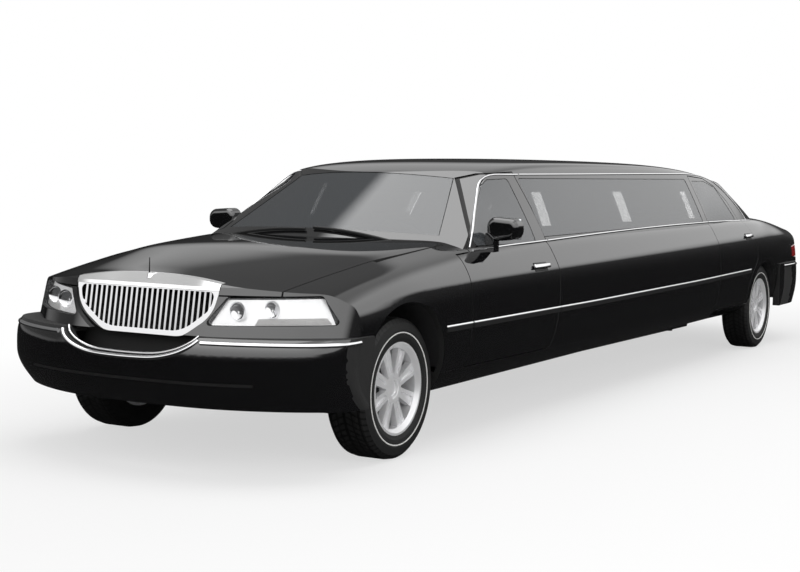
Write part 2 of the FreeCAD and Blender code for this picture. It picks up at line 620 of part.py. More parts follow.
# Hood, cowl, trunk lid: outlines seen from above
HOOD_REAR_GAP = 75.0
HOOD_REAR_SHARES = (1.0, 0.8, 0.6, 0.4, 0.2, 0.0)
HOOD_SIDE_SHARES = (-0.67, -0.5, -0.3, -0.1, 0.04, 0.08)
LAMP_TOP_Z = 836.0
LAMP_BOTTOM_Z = 700.0


def seam_y(share):
    return line_at(SEAM_SHARES, share)[0]


def bowed_rear(y, setback):
    return FRONT_AXLE_X - setback - WINDSHIELD_BOW * (y / SHEET_EDGE_Y) ** 2


def hood_block(grow):
    rear_setback = WINDSHIELD_BASE_SETBACK - HOOD_REAR_GAP + grow
    side = [(along(p), seam_y(p) + grow) for p in HOOD_SIDE_SHARES]
    corner_y = seam_y(HOOD_SIDE_SHARES[-1]) + grow
    rear = [(bowed_rear(corner_y * k, rear_setback), corner_y * k) for k in HOOD_REAR_SHARES]
    ahead = [(FRONT_AXLE_X + FRONT_OVERHANG, seam_y(HOOD_SIDE_SHARES[0]) + grow)]
    left = ahead + side[:-1] + rear
    right = [(x, -y) for x, y in reversed(left[:-1])]
    return prism_z(left + right, LAMP_TOP_Z - grow, HEIGHT)


LID_SIDE_SHARES = (1.285, 1.5, 1.7, 1.85)


def lid_block(grow):
    front_x = REAR_AXLE_X - DECK_FRONT_FROM_REAR_AXLE + grow
    left = [(front_x, seam_y(LID_SIDE_SHARES[0]) + grow)]
    left += [(along(p), seam_y(p) + grow) for p in LID_SIDE_SHARES[1:]]
    left += [(REAR_AXLE_X - REAR_OVERHANG - OVERRUN, seam_y(LID_SIDE_SHARES[-1]) + grow)]
    right = [(x, -y) for x, y in reversed(left)]
    return prism_z(left + right, TRUNK_MOUTH_Z - grow, HEIGHT)


# Lamps and grille, as (y, z) outlines of the nose
LAMP_OUTLINE_SHARES = ((0.385, 0.0), (0.478, 0.93), (0.841, 1.0), (0.925, 0.06))
LAMP_CORNER_RADIUS = 16.0
LAMP_MIDDLE_SHARE = 0.62
TAIL_LAMP_SHARES = ((0.69, 0.05), (0.69, 1.0), (0.9, 0.86), (0.99, 0.3), (0.99, 0.05))
TAIL_LAMP_DEPTH_SHARE = 0.62
TAIL_LAMP_MIDDLE_SHARE = 0.8
TAIL_LAMP_TOP_Z = 890.0
TAIL_LAMP_BOTTOM_Z = 720.0
GRILLE_HALF_WIDTH = 425.0
GRILLE_TOP_Z = 878.0
GRILLE_BOTTOM_Z = 634.0
GRILLE_RAKE = 9.0
GRILLE_DEPTH = 60.0
GRILLE_RING = 24.0
GRILLE_BARS = 25
GRILLE_BAR_WIDTH = 13.0
HEADER_REAR = 772.0
GRILLE_REACH = 368.0
GRILLE_BACK_SETBACK = 8.0
GRILLE_FACE_SETBACK = 158.0
GRILLE_SHARES = ((-1.0, 0.98), (1.0, 0.98), (0.96, 0.45), (0.6, 0.0), (-0.6, 0.0), (-0.96, 0.45))
GRILLE_RADII = (GRILLE_RING, GRILLE_RING, GRILLE_HALF_WIDTH / 2, GRILLE_HALF_WIDTH / 2,
                GRILLE_HALF_WIDTH / 2, GRILLE_HALF_WIDTH / 2)


def lamp_block(margin):
    points = []
    middle_y = LAMP_MIDDLE_SHARE * HALF_WIDTH
    middle_z = (LAMP_TOP_Z + LAMP_BOTTOM_Z) / 2
    for w, h in LAMP_OUTLINE_SHARES:
        y = w * HALF_WIDTH
        z = LAMP_BOTTOM_Z + h * (LAMP_TOP_Z - LAMP_BOTTOM_Z)
        points.append((y - margin * math.copysign(1, y - middle_y),
                       z - margin * math.copysign(1, z - middle_z)))
    back_x = FRONT_AXLE_X + ARCH_HALF_WIDTH + PANEL_GAP
    return rounded_prism(points, LAMP_CORNER_RADIUS, lambda y, z: V(back_x, y, z), V(FRONT_OVERHANG, 0, 0))


def tail_lamp_block(margin):
    points = []
    for w, h in TAIL_LAMP_SHARES:
        z = TAIL_LAMP_BOTTOM_Z + h * (TAIL_LAMP_TOP_Z - TAIL_LAMP_BOTTOM_Z)
        y = w * HALF_WIDTH + (margin if w < TAIL_LAMP_MIDDLE_SHARE else -margin)
        points.append((y, z + (margin if h < MIDDLE_SHARE else -margin)))
    return prism_x(points, REAR_AXLE_X - REAR_OVERHANG, REAR_AXLE_X - REAR_OVERHANG * TAIL_LAMP_DEPTH_SHARE)


def grille_place(depth):
    # the raked grille plane: across and up from its lower edge, set back by the depth
    lean = math.radians(GRILLE_RAKE)
    face_x = FRONT_AXLE_X + FRONT_OVERHANG - GRILLE_FACE_SETBACK

    def place(y, z):
        up = z - GRILLE_BOTTOM_Z
        return V(face_x - depth - up * math.sin(lean), y, GRILLE_BOTTOM_Z + up * math.cos(lean))
    return place


def grille_outline(margin):
    return [(w * GRILLE_HALF_WIDTH - margin * (1 if w > 0 else -1),
             GRILLE_BOTTOM_Z + h * (GRILLE_TOP_Z - GRILLE_BOTTOM_Z) + margin * (1 if h < MIDDLE_SHARE else -1))
            for w, h in GRILLE_SHARES]


def grille_block(grow):
    return rounded_prism(grille_outline(-grow), GRILLE_RADII, grille_place(-GRILLE_REACH),
                         V(-REAR_OVERHANG / 2, 0, 0))


def header_block(grow):
    # the strip of the skin between the grille and the hood
    return box(FRONT_AXLE_X + HEADER_REAR - grow, REACH, -GRILLE_HALF_WIDTH - grow,
               GRILLE_HALF_WIDTH + grow, GRILLE_TOP_Z - GRILLE_RING, HEIGHT)


def build_grille():
    back = V(-GRILLE_DEPTH, 0, 0)
    outer = rounded_prism(grille_outline(0.0), GRILLE_RADII, grille_place(0.0), back)
    hole = rounded_prism(grille_outline(GRILLE_RING), GRILLE_RADII, grille_place(-OVERRUN),
                         back + V(-2 * OVERRUN, 0, 0))
    ring = outer.cut(hole)
    pitch = 2 * (GRILLE_HALF_WIDTH - GRILLE_RING) / (GRILLE_BARS + 1)
    height = GRILLE_TOP_Z - GRILLE_BOTTOM_Z
    bars = []
    for i in range(GRILLE_BARS):
        y = (i - (GRILLE_BARS - 1) / 2) * pitch
        place = grille_place(GRILLE_BACK_SETBACK)
        low, high = place(y, GRILLE_BOTTOM_Z), place(y, GRILLE_BOTTOM_Z + height)
        half = GRILLE_BAR_WIDTH / 2
        foot = Part.makePolygon([low + V(0, -half, 0), low + V(half, 0, 0), low + V(0, half, 0),
                                 low + V(-GRILLE_RING, half, 0), low + V(-GRILLE_RING, -half, 0),
                                 low + V(0, -half, 0)])
        bars.append(Part.Face(foot).extrude(high - low).common(outer))
    header = lid_shell.common(header_block(0.0))
    return ring.fuse(bars + [header])


ORNAMENT_SETBACK = 214.0
ORNAMENT_RADIUS = 15.0
ORNAMENT_BASE_HEIGHT = 12.0
ORNAMENT_HEIGHT = 84.0
ORNAMENT_PIN_RADIUS = 5.0
ORNAMENT_TIP_RADIUS = 2.5


def build_ornament():
    # a plain tapered pin on a round foot that sits on the grille's header
    x = FRONT_AXLE_X + FRONT_OVERHANG - ORNAMENT_SETBACK
    probe = Part.makeLine(V(x, 0, NOSE_LEVEL_Z), V(x, 0, SKIN_TOP_Z)).common(hull_outer)
    skin_z = probe.BoundBox.ZMax
    foot = Part.makeCone(ORNAMENT_RADIUS, ORNAMENT_RADIUS / 2, 2 * ORNAMENT_BASE_HEIGHT,
                         V(x, 0, skin_z - ORNAMENT_BASE_HEIGHT), V(0, 0, 1))
    pin = Part.makeCone(ORNAMENT_PIN_RADIUS, ORNAMENT_TIP_RADIUS, ORNAMENT_HEIGHT, V(x, 0, skin_z),
                        V(0, 0, 1))
    return largest(foot.fuse(pin).cut(hull_outer))


# Bumpers
def stacked_block(shares, axle_x, overhang, direction, levels, back_x):
    # like an end block, with one smooth outer face through all the levels
    base = mirrored(plan_outline(shares, axle_x, overhang, direction, 0.0))
    steps = [0.0]
    for p, q in zip(base, base[1:]):
        steps.append(steps[-1] + (q - p).Length)
    rows = []
    for z, setback in levels:
        curve = Part.BSplineCurve()
        curve.interpolate(Points=[V(p.x - direction * setback, p.y, z) for p in base],
                          Parameters=[s / steps[-1] for s in steps])
        rows.append(curve.getPoles())
    vk, vm = curve.getKnots(), curve.getMultiplicities()
    uk, um = knots_for(len(rows), 3)
    surface = Part.BSplineSurface()
    surface.buildFromPolesMultsKnots(rows, um, vm, uk, vk, False, False, 3, curve.Degree)
    faces = [surface.toShape()]
    corners = []
    for u, (z, setback) in ((uk[0], levels[0]), (uk[-1], levels[-1])):
        edge = surface.uIso(u).toShape()
        first, last = surface.value(u, vk[0]), surface.value(u, vk[-1])
        back_first, back_last = V(back_x, first.y, z), V(back_x, last.y, z)
        faces.append(Part.Face(Part.Wire([edge, Part.makeLine(last, back_last),
                                          Part.makeLine(back_last, back_first),
                                          Part.makeLine(back_first, first)])))
        corners.append((first, last, back_first, back_last))
    low, high = corners
    for v, i in ((vk[0], 0), (vk[-1], 1)):
        edge = surface.vIso(v).toShape()
        faces.append(Part.Face(Part.Wire([edge, Part.makeLine(high[i], high[i + 2]),
                                          Part.makeLine(high[i + 2], low[i + 2]),
                                          Part.makeLine(low[i + 2], low[i])])))
    faces.append(polygon_face([low[2], low[3], high[3], high[2]]))
    shell = Part.makeShell(faces)
    shell.sewShape()
    solid = Part.Solid(shell)
    if solid.Volume < 0:
        solid.reverse()
    return solid


def bumper(shares, axle_x, overhang, direction, bottom, top, back_x):
    def block(extra, low, high):
        levels = [(low + f * (high - low), extra + s * BUMPER_TUCK) for f, s in BUMPER_PROFILE_SHARES]
        return stacked_block(shares, axle_x, overhang, direction, levels, back_x - direction * extra)
    outer = block(0.0, bottom, top)
    inner = block(BUMPER_THICKNESS, bottom - OVERRUN, top - BUMPER_THICKNESS / 2)
    core_half = HALF_WIDTH - BUMPER_THICKNESS
    wide = box(-REACH, REACH, -core_half, core_half, -OVERRUN, HEIGHT)
    return outer.cut(inner.common(wide)), block(SLOT_DEPTH, bottom - OVERRUN, top + OVERRUN)


def bumper_dip():
    # the hollow in the bumper's top edge that leaves room for the grille
    depth = BUMPER_TOP_Z - BUMPER_DIP_Z
    left = [V(FRONT_AXLE_X, w * HALF_WIDTH, BUMPER_DIP_Z + h * depth) for w, h in BUMPER_DIP_SHARES]
    right = [V(p.x, -p.y, p.z) for p in reversed(left[:-1])]
    curve = spline(left + right)
    a, b = left[0], right[-1]
    c, d = V(b.x, b.y, HEIGHT), V(a.x, a.y, HEIGHT)
    wire = Part.Wire([curve, Part.makeLine(b, c), Part.makeLine(c, d), Part.makeLine(d, a)])
    return Part.Face(wire).extrude(V(REACH, 0, 0))


def bumper_slots(core):
    # shallow grooves across the lower face: slabs that reach just past the core
    slabs = []
    for i in range(BUMPER_SLOTS):
        z = SLOT_LOW_Z + i * SLOT_PITCH
        slabs.append(box(FRONT_AXLE_X + ARCH_HALF_WIDTH, REACH, -SLOT_HALF, SLOT_HALF, z, z + SLOT_HEIGHT))
    return Part.makeCompound(slabs).cut(core)


# Wheels: profiles as shares of radius and half width, turned about the axle
TYRE_PROFILE_SHARES = ((0.72, 0.98), (0.83, 1.0), (0.93, 0.95), (0.985, 0.8),
                       (1.0, 0.55))
BARREL_PROFILE_SHARES = ((1.0, 1.0), (1.0, 0.9), (0.93, 0.8), (0.93, -0.8), (1.0, -0.9), (1.0, -1.0),
                         (0.95, -1.0), (0.87, -0.8), (0.87, 0.8), (0.95, 1.0))
RIM_HALF_WIDTH = 104.0
HUB_RADIUS = 74.0
CAP_RADIUS = 40.0
SPOKES = 8
SPOKE_OUTER = 76.0
SPOKE_DEPTH = 34.0
SPOKE_ROOT = 44.0
SPOKE_TIP = 74.0
SPOKE_GROOVE = 12.0
SPOKE_TIP_SHARE = 0.9
GROOVE_TIP_HALF = 15.6
TURN = 360.0
WHEEL_SEAT = 36.0


def turned(points, centre_y):
    profile = [V(0, centre_y + y, r) for r, y in points]
    face = polygon_face(profile)
    return face.revolve(V(0, 0, 0), V(0, 1, 0), TURN)


def build_tyre():
    half = TYRE_WIDTH / 2
    out = [(RIM_RADIUS + SEAT_CLEARANCE, RIM_HALF_WIDTH)]
    out += [(r * TYRE_RADIUS, y * half) for r, y in TYRE_PROFILE_SHARES]
    return turned(out + [(r, -y) for r, y in reversed(out)], 0.0)


def build_rim():
    barrel = turned([(r * RIM_RADIUS, y * RIM_HALF_WIDTH) for r, y in BARREL_PROFILE_SHARES], 0.0)
    low, high = WHEEL_SEAT, SPOKE_OUTER
    disc = turned([(0, low), (0, high - SPOKE_GROOVE), (CAP_RADIUS, high - SPOKE_GROOVE),
                   (CAP_RADIUS, high - SPOKE_GROOVE / 2), (HUB_RADIUS, high), (HUB_RADIUS, low)], 0.0)
    shape = barrel.fuse(disc)
    tip_radius = RIM_RADIUS * SPOKE_TIP_SHARE
    root_radius = CAP_RADIUS + SPOKE_GROOVE
    for i in range(SPOKES):
        root = [V(-SPOKE_ROOT / 2, high, root_radius), V(SPOKE_ROOT / 2, high, root_radius),
                V(SPOKE_TIP / 2, high, tip_radius), V(-SPOKE_TIP / 2, high, tip_radius)]
        arm = polygon_face(root).extrude(V(0, -SPOKE_DEPTH, 0))
        half = SPOKE_GROOVE / 2
        groove = polygon_face([V(-half, high, HUB_RADIUS), V(half, high, HUB_RADIUS),
                               V(GROOVE_TIP_HALF, high, tip_radius), V(-GROOVE_TIP_HALF, high, tip_radius)])
        arm = arm.cut(groove.extrude(V(0, -SPOKE_GROOVE, 0)))
        arm.rotate(V(0, 0, 0), V(0, 1, 0), TURN / SPOKES * i + TURN / SPOKES / 2)
        shape = shape.fuse(arm)
    return shape


def placed_wheel(shape, x, y):
    # a wheel made with its outer face towards +Y, set on either side
    copy = shape.copy()
    if y < 0:
        copy = copy.mirror(V(0, 0, 0), V(0, 1, 0))
    copy.translate(V(x, y, TYRE_RADIUS))
    return copy


# Knuckles and suspension
KINGPIN_INSET = 62.0
KINGPIN_RADIUS = 22.0
EYE_WALL = 7.0
KINGPIN_HALF = 120.0
HUB_FLANGE_RADIUS = 70.0
BRAKE_RADIUS = 150.0
BRAKE_WIDTH = 24.0
FRONT_WHEEL_Y = FRONT_TRACK / 2
REAR_WHEEL_Y = REAR_TRACK / 2
KINGPIN_Y = FRONT_WHEEL_Y - KINGPIN_INSET


def build_knuckle():
    centre = V(FRONT_AXLE_X, 0, TYRE_RADIUS)
    face = FRONT_WHEEL_Y + WHEEL_SEAT - SEAT_CLEARANCE
    y_axis = V(0, 1, 0)
    hub = cylinder(HUB_FLANGE_RADIUS, face - KINGPIN_Y, centre + V(0, KINGPIN_Y, 0), y_axis)
    disc = cylinder(BRAKE_RADIUS, BRAKE_WIDTH, centre + V(0, KINGPIN_Y + 2 * KINGPIN_RADIUS, 0), y_axis)
    post = cylinder(KINGPIN_RADIUS, 2 * KINGPIN_HALF, V(FRONT_AXLE_X, KINGPIN_Y,
                                                        TYRE_RADIUS - KINGPIN_HALF), V(0, 0, 1))
    arm = box(FRONT_AXLE_X - KINGPIN_HALF, FRONT_AXLE_X, KINGPIN_Y - KINGPIN_RADIUS,
              KINGPIN_Y + KINGPIN_RADIUS / 2, TYRE_RADIUS - HUB_FLANGE_RADIUS,
              TYRE_RADIUS - HUB_FLANGE_RADIUS / 2)
    return hub.fuse([disc, post, arm])


RAIL_INNER_Y = 380.0
RAIL_OUTER_Y = 460.0
RAIL_HEIGHT = 100.0
RAIL_LOW_Z = 185.0
ARM_THICKNESS = 30.0
COIL_RADIUS = 45.0
COIL_Y = 572.0


def build_front_suspension():
    shapes = []
    for z in (TYRE_RADIUS - KINGPIN_HALF - ARM_THICKNESS - SEAT_CLEARANCE,
              TYRE_RADIUS + KINGPIN_HALF + SEAT_CLEARANCE):
        half = COIL_RADIUS + KINGPIN_RADIUS
        arm = prism_z([(FRONT_AXLE_X + half, RAIL_OUTER_Y), (FRONT_AXLE_X + KINGPIN_RADIUS, KINGPIN_Y),
                       (FRONT_AXLE_X - KINGPIN_RADIUS, KINGPIN_Y), (FRONT_AXLE_X - half, RAIL_OUTER_Y)],
                      z, z + ARM_THICKNESS)
        eye = cylinder(KINGPIN_RADIUS + EYE_WALL, ARM_THICKNESS, V(FRONT_AXLE_X, KINGPIN_Y, z), V(0, 0, 1))
        shapes += [arm, eye]
    coil = cylinder(COIL_RADIUS, 2 * KINGPIN_HALF + ARM_THICKNESS,
                    V(FRONT_AXLE_X, COIL_Y, TYRE_RADIUS - KINGPIN_HALF - ARM_THICKNESS / 2), V(0, 0, 1))
    post = box(FRONT_AXLE_X - COIL_RADIUS, FRONT_AXLE_X + COIL_RADIUS, RAIL_OUTER_Y + SEAT_CLEARANCE,
               RAIL_OUTER_Y + ARM_THICKNESS, TYRE_RADIUS - KINGPIN_HALF - ARM_THICKNESS,
               TYRE_RADIUS + KINGPIN_HALF + ARM_THICKNESS)
    arms = shapes[0].fuse(shapes[1:] + [coil, post])
    return slab(arms, -REACH, REACH, RAIL_OUTER_Y + SEAT_CLEARANCE, HALF_WIDTH, 0, HEIGHT)


AXLE_TUBE_RADIUS = 42.0
DIFFERENTIAL_RADIUS = 120.0


def build_rear_axle():
    face = REAR_WHEEL_Y + WHEEL_SEAT - SEAT_CLEARANCE
    centre = V(REAR_AXLE_X, 0, TYRE_RADIUS)
    y_axis = V(0, 1, 0)
    tube = cylinder(AXLE_TUBE_RADIUS, 2 * face, centre - V(0, face, 0), y_axis)
    pumpkin = Part.makeSphere(DIFFERENTIAL_RADIUS, centre)
    shapes = [pumpkin]
    for side in (-1, 1):
        flange = cylinder(HUB_FLANGE_RADIUS, WHEEL_SEAT * 2,
                          centre + V(0, side * face - (WHEEL_SEAT * 2 if side > 0 else 0), 0), y_axis)
        disc = cylinder(BRAKE_RADIUS, BRAKE_WIDTH, centre + V(0, side * (REAR_WHEEL_Y - KINGPIN_INSET)
                                                              - BRAKE_WIDTH / 2, 0), y_axis)
        coil = cylinder(COIL_RADIUS, REAR_KICK_Z - TYRE_RADIUS,
                        V(REAR_AXLE_X, side * (RAIL_INNER_Y + RAIL_OUTER_Y) / 2, TYRE_RADIUS), V(0, 0, 1))
        shapes += [flange, disc, coil]
    return tube.fuse(shapes)


# Frame rails in side view: (place share, height of the lower face)
REAR_KICK_Z = 455.0
RAIL_LINE_SHARES = ((-0.78, 0.95), (-0.42, 0.95), (-0.25, 0.62), (0.055, 0.62), (0.105, 0.0),
                    (0.925, 0.0), (0.968, 1.0), (1.09, 1.0), (1.22, 0.85), (1.82, 0.85))
FRAME_MEMBER_SHARES = ((-0.7, 0.95), (0.0, 0.62), (0.13, 0.0), (0.24, 0.0), (0.35, 0.0), (0.46, 0.0),
                       (0.57, 0.0), (0.68, 0.0), (0.79, 0.0), (0.87, 0.0), (1.3, 0.85), (1.8, 0.85))
MEMBER_LIFT = 5.0
MEMBER_HEIGHT = 45.0
PAD_RADIUS = 32.0
PAD_HEIGHT = 12.0
PAD_SHARES = (0.13, 0.87)


def build_frame():
    rise = REAR_KICK_Z - RAIL_LOW_Z
    low = [(along(p), RAIL_LOW_Z + h * rise) for p, h in RAIL_LINE_SHARES]
    high = [(x, z + RAIL_HEIGHT) for x, z in reversed(low)]
    rail = prism_y(low + high, RAIL_INNER_Y, RAIL_OUTER_Y)
    shapes = both_sides(rail)
    for p, h in FRAME_MEMBER_SHARES:
        x, z = along(p), RAIL_LOW_Z + h * rise
        shapes.append(box(x - RAIL_HEIGHT / 2, x + RAIL_HEIGHT / 2, -RAIL_INNER_Y, RAIL_INNER_Y,
                          z + MEMBER_LIFT, z + MEMBER_LIFT + MEMBER_HEIGHT))
    for p in PAD_SHARES:
        pad = cylinder(PAD_RADIUS, PAD_HEIGHT, V(along(p), (RAIL_INNER_Y + RAIL_OUTER_Y) / 2,
                                                 RAIL_LOW_Z - PAD_HEIGHT), V(0, 0, 1))
        shapes += both_sides(pad)
    return shapes[0].fuse(shapes[1:])


# Floor, engine and cabin furniture
FLOOR_Z = 300.0
FLOOR_THICKNESS = 10.0
FLOOR_HALF = 772.0
REAR_FLOOR_Z = 572.0
REAR_FLOOR_HALF = 520.0
FIREWALL_SETBACK = 545.0
FIREWALL_TOP_SHARE = 0.78
BOOT_END_SHARE = 0.82
TUNNEL_HALF = 110.0
TUNNEL_TOP_Z = 405.0
LOUNGE_END_FROM_REAR_AXLE = 480.0


def tunnel(half, top):
    # the channel along the middle of the floor, open at both ends
    return box(REAR_AXLE_X + LOUNGE_END_FROM_REAR_AXLE - OVERRUN, FRONT_AXLE_X - FIREWALL_SETBACK,
               -half, half, FLOOR_Z - OVERRUN, top)


def build_floor():
    t = FLOOR_THICKNESS
    wall_x = FRONT_AXLE_X - FIREWALL_SETBACK
    foot_x = wall_x - RAIL_HEIGHT
    end_x = REAR_AXLE_X + LOUNGE_END_FROM_REAR_AXLE
    wall_top = SKIN_TOP_Z * FIREWALL_TOP_SHARE
    outline = [(wall_x + t, wall_top), (wall_x, wall_top), (foot_x, FLOOR_Z + t), (end_x, FLOOR_Z + t),
               (end_x, REAR_FLOOR_Z + t), (end_x - t, REAR_FLOOR_Z + t), (end_x - t, FLOOR_Z),
               (foot_x + t, FLOOR_Z)]
    cabin = across(outline, FLOOR_HALF)
    inside = across([(wall_x, wall_top), (foot_x, FLOOR_Z), (end_x - t, FLOOR_Z),
                     (end_x - t, wall_top)], FLOOR_HALF)
    hollow = tunnel(TUNNEL_HALF - t, TUNNEL_TOP_Z - t)
    cover = tunnel(TUNNEL_HALF, TUNNEL_TOP_Z).common(inside)
    rear = box(REAR_AXLE_X - REAR_OVERHANG * BOOT_END_SHARE, end_x - t, -REAR_FLOOR_HALF,
               REAR_FLOOR_HALF, REAR_FLOOR_Z, REAR_FLOOR_Z + t)
    return cabin.fuse([cover, rear]).cut(hollow)


ENGINE_FRONT = 240.0
ENGINE_LENGTH = 700.0
ENGINE_HALF = 240.0
ENGINE_BEVEL = 80.0
ENGINE_LOW_Z = 330.0
ENGINE_HIGH_Z = 820.0


def build_engine():
    front = FRONT_AXLE_X + ENGINE_FRONT
    rear = front - ENGINE_LENGTH
    bevel = ENGINE_BEVEL
    sump_z = ENGINE_LOW_Z + RAIL_HEIGHT
    outline = [(-ENGINE_HALF / 2, sump_z), (ENGINE_HALF / 2, sump_z),
               (ENGINE_HALF, sump_z + 2 * RAIL_HEIGHT), (ENGINE_HALF, ENGINE_HIGH_Z - bevel),
               (ENGINE_HALF - bevel, ENGINE_HIGH_Z), (bevel - ENGINE_HALF, ENGINE_HIGH_Z),
               (-ENGINE_HALF, ENGINE_HIGH_Z - bevel), (-ENGINE_HALF, sump_z + 2 * RAIL_HEIGHT)]
    block = prism_x(outline, rear, front)
    bell = box(rear - BELL_LENGTH, rear, -ENGINE_HALF / 2, ENGINE_HALF / 2, GEARBOX_LOW_Z,
               sump_z + RAIL_HEIGHT)
    gearbox = box(rear - GEARBOX_LENGTH, rear, -GEARBOX_HALF, GEARBOX_HALF, GEARBOX_LOW_Z, GEARBOX_HIGH_Z)
    return block.fuse([bell, gearbox])


BELL_LENGTH = 120.0
GEARBOX_LENGTH = 540.0
GEARBOX_HALF = 85.0
GEARBOX_LOW_Z = 318.0
GEARBOX_HIGH_Z = 390.0
SHAFT_RADIUS = 32.0
HANGER_HALF = 20.0


def build_driveshaft():
    # one long shaft from the gearbox to the rear axle, carried on the frame's cross members
    start_x = FRONT_AXLE_X + ENGINE_FRONT - ENGINE_LENGTH - GEARBOX_LENGTH - SEAT_CLEARANCE
    end_x = REAR_AXLE_X + DIFFERENTIAL_RADIUS + SEAT_CLEARANCE
    shaft = cylinder(SHAFT_RADIUS, start_x - end_x, V(end_x, 0, TYRE_RADIUS), V(1, 0, 0))
    low = RAIL_LOW_Z + MEMBER_LIFT + MEMBER_HEIGHT + SEAT_CLEARANCE
    hangers = [box(along(p) - HANGER_HALF, along(p) + HANGER_HALF, -HANGER_HALF, HANGER_HALF, low,
                   TYRE_RADIUS) for p, h in FRAME_MEMBER_SHARES[3:9:2]]
    return shaft.fuse(hangers)


EXHAUST_Y = 300.0
EXHAUST_RADIUS = 27.0
MUFFLER_RADIUS = 68.0
MUFFLER_SHARES = (1.38, 1.7)
EXHAUST_SHARES = (0.12, 1.9)


def build_exhaust():
    # two pipes resting on the frame's cross members, each with its silencer at the tail
    z = RAIL_LOW_Z + MEMBER_LIFT + MEMBER_HEIGHT + SEAT_CLEARANCE + EXHAUST_RADIUS
    start, end = along(EXHAUST_SHARES[0]), along(EXHAUST_SHARES[1])
    pipe = cylinder(EXHAUST_RADIUS, start - end, V(end, EXHAUST_Y, z), V(1, 0, 0))
    front, rear = along(MUFFLER_SHARES[0]), along(MUFFLER_SHARES[1])
    muffler = cylinder(MUFFLER_RADIUS, front - rear, V(rear, EXHAUST_Y, z), V(1, 0, 0))
    return left_right([pipe.fuse(muffler)])


TANK_SHARES = (1.4, 1.74)
TANK_LOW_Z = 400.0


def build_fuel_tank():
    half = RAIL_INNER_Y - SEAT_CLEARANCE
    return box(along(TANK_SHARES[1]), along(TANK_SHARES[0]), -half, half, TANK_LOW_Z,
               REAR_FLOOR_Z - SEAT_CLEARANCE)


RADIATOR_FRONT = 655.0
RADIATOR_DEPTH = 55.0
RADIATOR_TOP_Z = 830.0
TIE_BAR_HALF = 560.0
TIE_BAR_HEIGHT = 36.0


def build_radiator():
    # the radiator on the frame's front member, with the tie bar behind the lamps
    x1 = FRONT_AXLE_X + RADIATOR_FRONT
    x0 = x1 - RADIATOR_DEPTH
    half = RAIL_INNER_Y - SEAT_CLEARANCE
    core = box(x0, x1, -half, half, RAIL_LOW_Z + (REAR_KICK_Z - RAIL_LOW_Z), RADIATOR_TOP_Z)
    bar = box(x0, x1, -TIE_BAR_HALF, TIE_BAR_HALF, RADIATOR_TOP_Z - TIE_BAR_HEIGHT, RADIATOR_TOP_Z)
    return core.fuse(bar)


SEAT_WIDTH = 560.0
SEAT_BASE_Z = 430.0
SEAT_CUSHION = 160.0
SEAT_BACK_Z = 1180.0
SEAT_GAP = 90.0
SEAT_ROUNDING = 30.0
SEAT_LEAN = 10.0
FRONT_SEAT_SETBACK = 1000.0
SEAT_SIDE_SHARES = ((0.0, 0.0, 0.0), (0.0, 0.8, 0.0), (0.8, 0.65, 0.0), (1.05, -1.0, 1.0), (1.05, 0.0, 1.0),
                    (1.22, 0.0, 1.0), (1.26, -1.0, 1.0), (1.04, 0.0, 0.0))


def seat_outline(front_x, base_z, depth, top_z):
    # side view of a seat: cushion, back and headrest in one upholstered shape; a share of the
    # depth behind the front edge, a share of the cushion above the base or the top
    return [(front_x - back * depth, base_z + top * (top_z - base_z) + up * SEAT_CUSHION)
            for back, up, top in SEAT_SIDE_SHARES]


def build_front_seats():
    front_x = FRONT_AXLE_X - FRONT_SEAT_SETBACK
    seat = rounded_prism(seat_outline(front_x, SEAT_BASE_Z, SEAT_WIDTH, SEAT_BACK_Z), SEAT_ROUNDING,
                         lambda x, z: V(x, SEAT_GAP, z), V(0, SEAT_WIDTH, 0))
    foot = box(front_x - SEAT_WIDTH, front_x - SEAT_GAP, SEAT_GAP * 2, SEAT_WIDTH,
               FLOOR_Z + FLOOR_THICKNESS, SEAT_BASE_Z)
    return left_right([seat.fuse(foot)])


LOUNGE_SEAT_Z = 690.0
LOUNGE_BACK_Z = 1080.0
LOUNGE_DEPTH = 520.0
BENCH_DROP_SETBACK = 173.0
BACK_TOP_DEPTH = 87.0
BENCH_BACK_DEPTH = 130.0
LOUNGE_LENGTH = 2300.0
BENCH_HALF = 690.0


def build_lounge_seats():
    # a rear bench joined to a bench along the right side
    end_x = REAR_AXLE_X + LOUNGE_END_FROM_REAR_AXLE
    low = FLOOR_Z + FLOOR_THICKNESS
    rear = rounded_prism([(end_x + LOUNGE_DEPTH, low), (end_x + LOUNGE_DEPTH, LOUNGE_SEAT_Z),
                          (end_x + BENCH_DROP_SETBACK, LOUNGE_SEAT_Z - SEAT_ROUNDING),
                          (end_x + BACK_TOP_DEPTH, LOUNGE_BACK_Z), (end_x + SEAT_LEAN, LOUNGE_BACK_Z),
                          (end_x + SEAT_LEAN, low)],
                         SEAT_ROUNDING, lambda x, z: V(x, -BENCH_HALF, z), V(0, 2 * BENCH_HALF, 0))
    side = rounded_prism([(-BENCH_HALF + LOUNGE_DEPTH, low), (-BENCH_HALF + LOUNGE_DEPTH, LOUNGE_SEAT_Z),
                          (-BENCH_HALF + BENCH_DROP_SETBACK, LOUNGE_SEAT_Z - SEAT_ROUNDING),
                          (-BENCH_HALF + BENCH_BACK_DEPTH, LOUNGE_BACK_Z - SEAT_GAP),
                          (-BENCH_HALF, LOUNGE_BACK_Z - SEAT_GAP), (-BENCH_HALF, low)],
                         SEAT_ROUNDING, lambda y, z: V(end_x + LOUNGE_DEPTH / 2, y, z),
                         V(LOUNGE_LENGTH, 0, 0))
    return rear.fuse(side).cut(tunnel(TUNNEL_HALF + SEAT_CLEARANCE, TUNNEL_TOP_Z + SEAT_CLEARANCE))


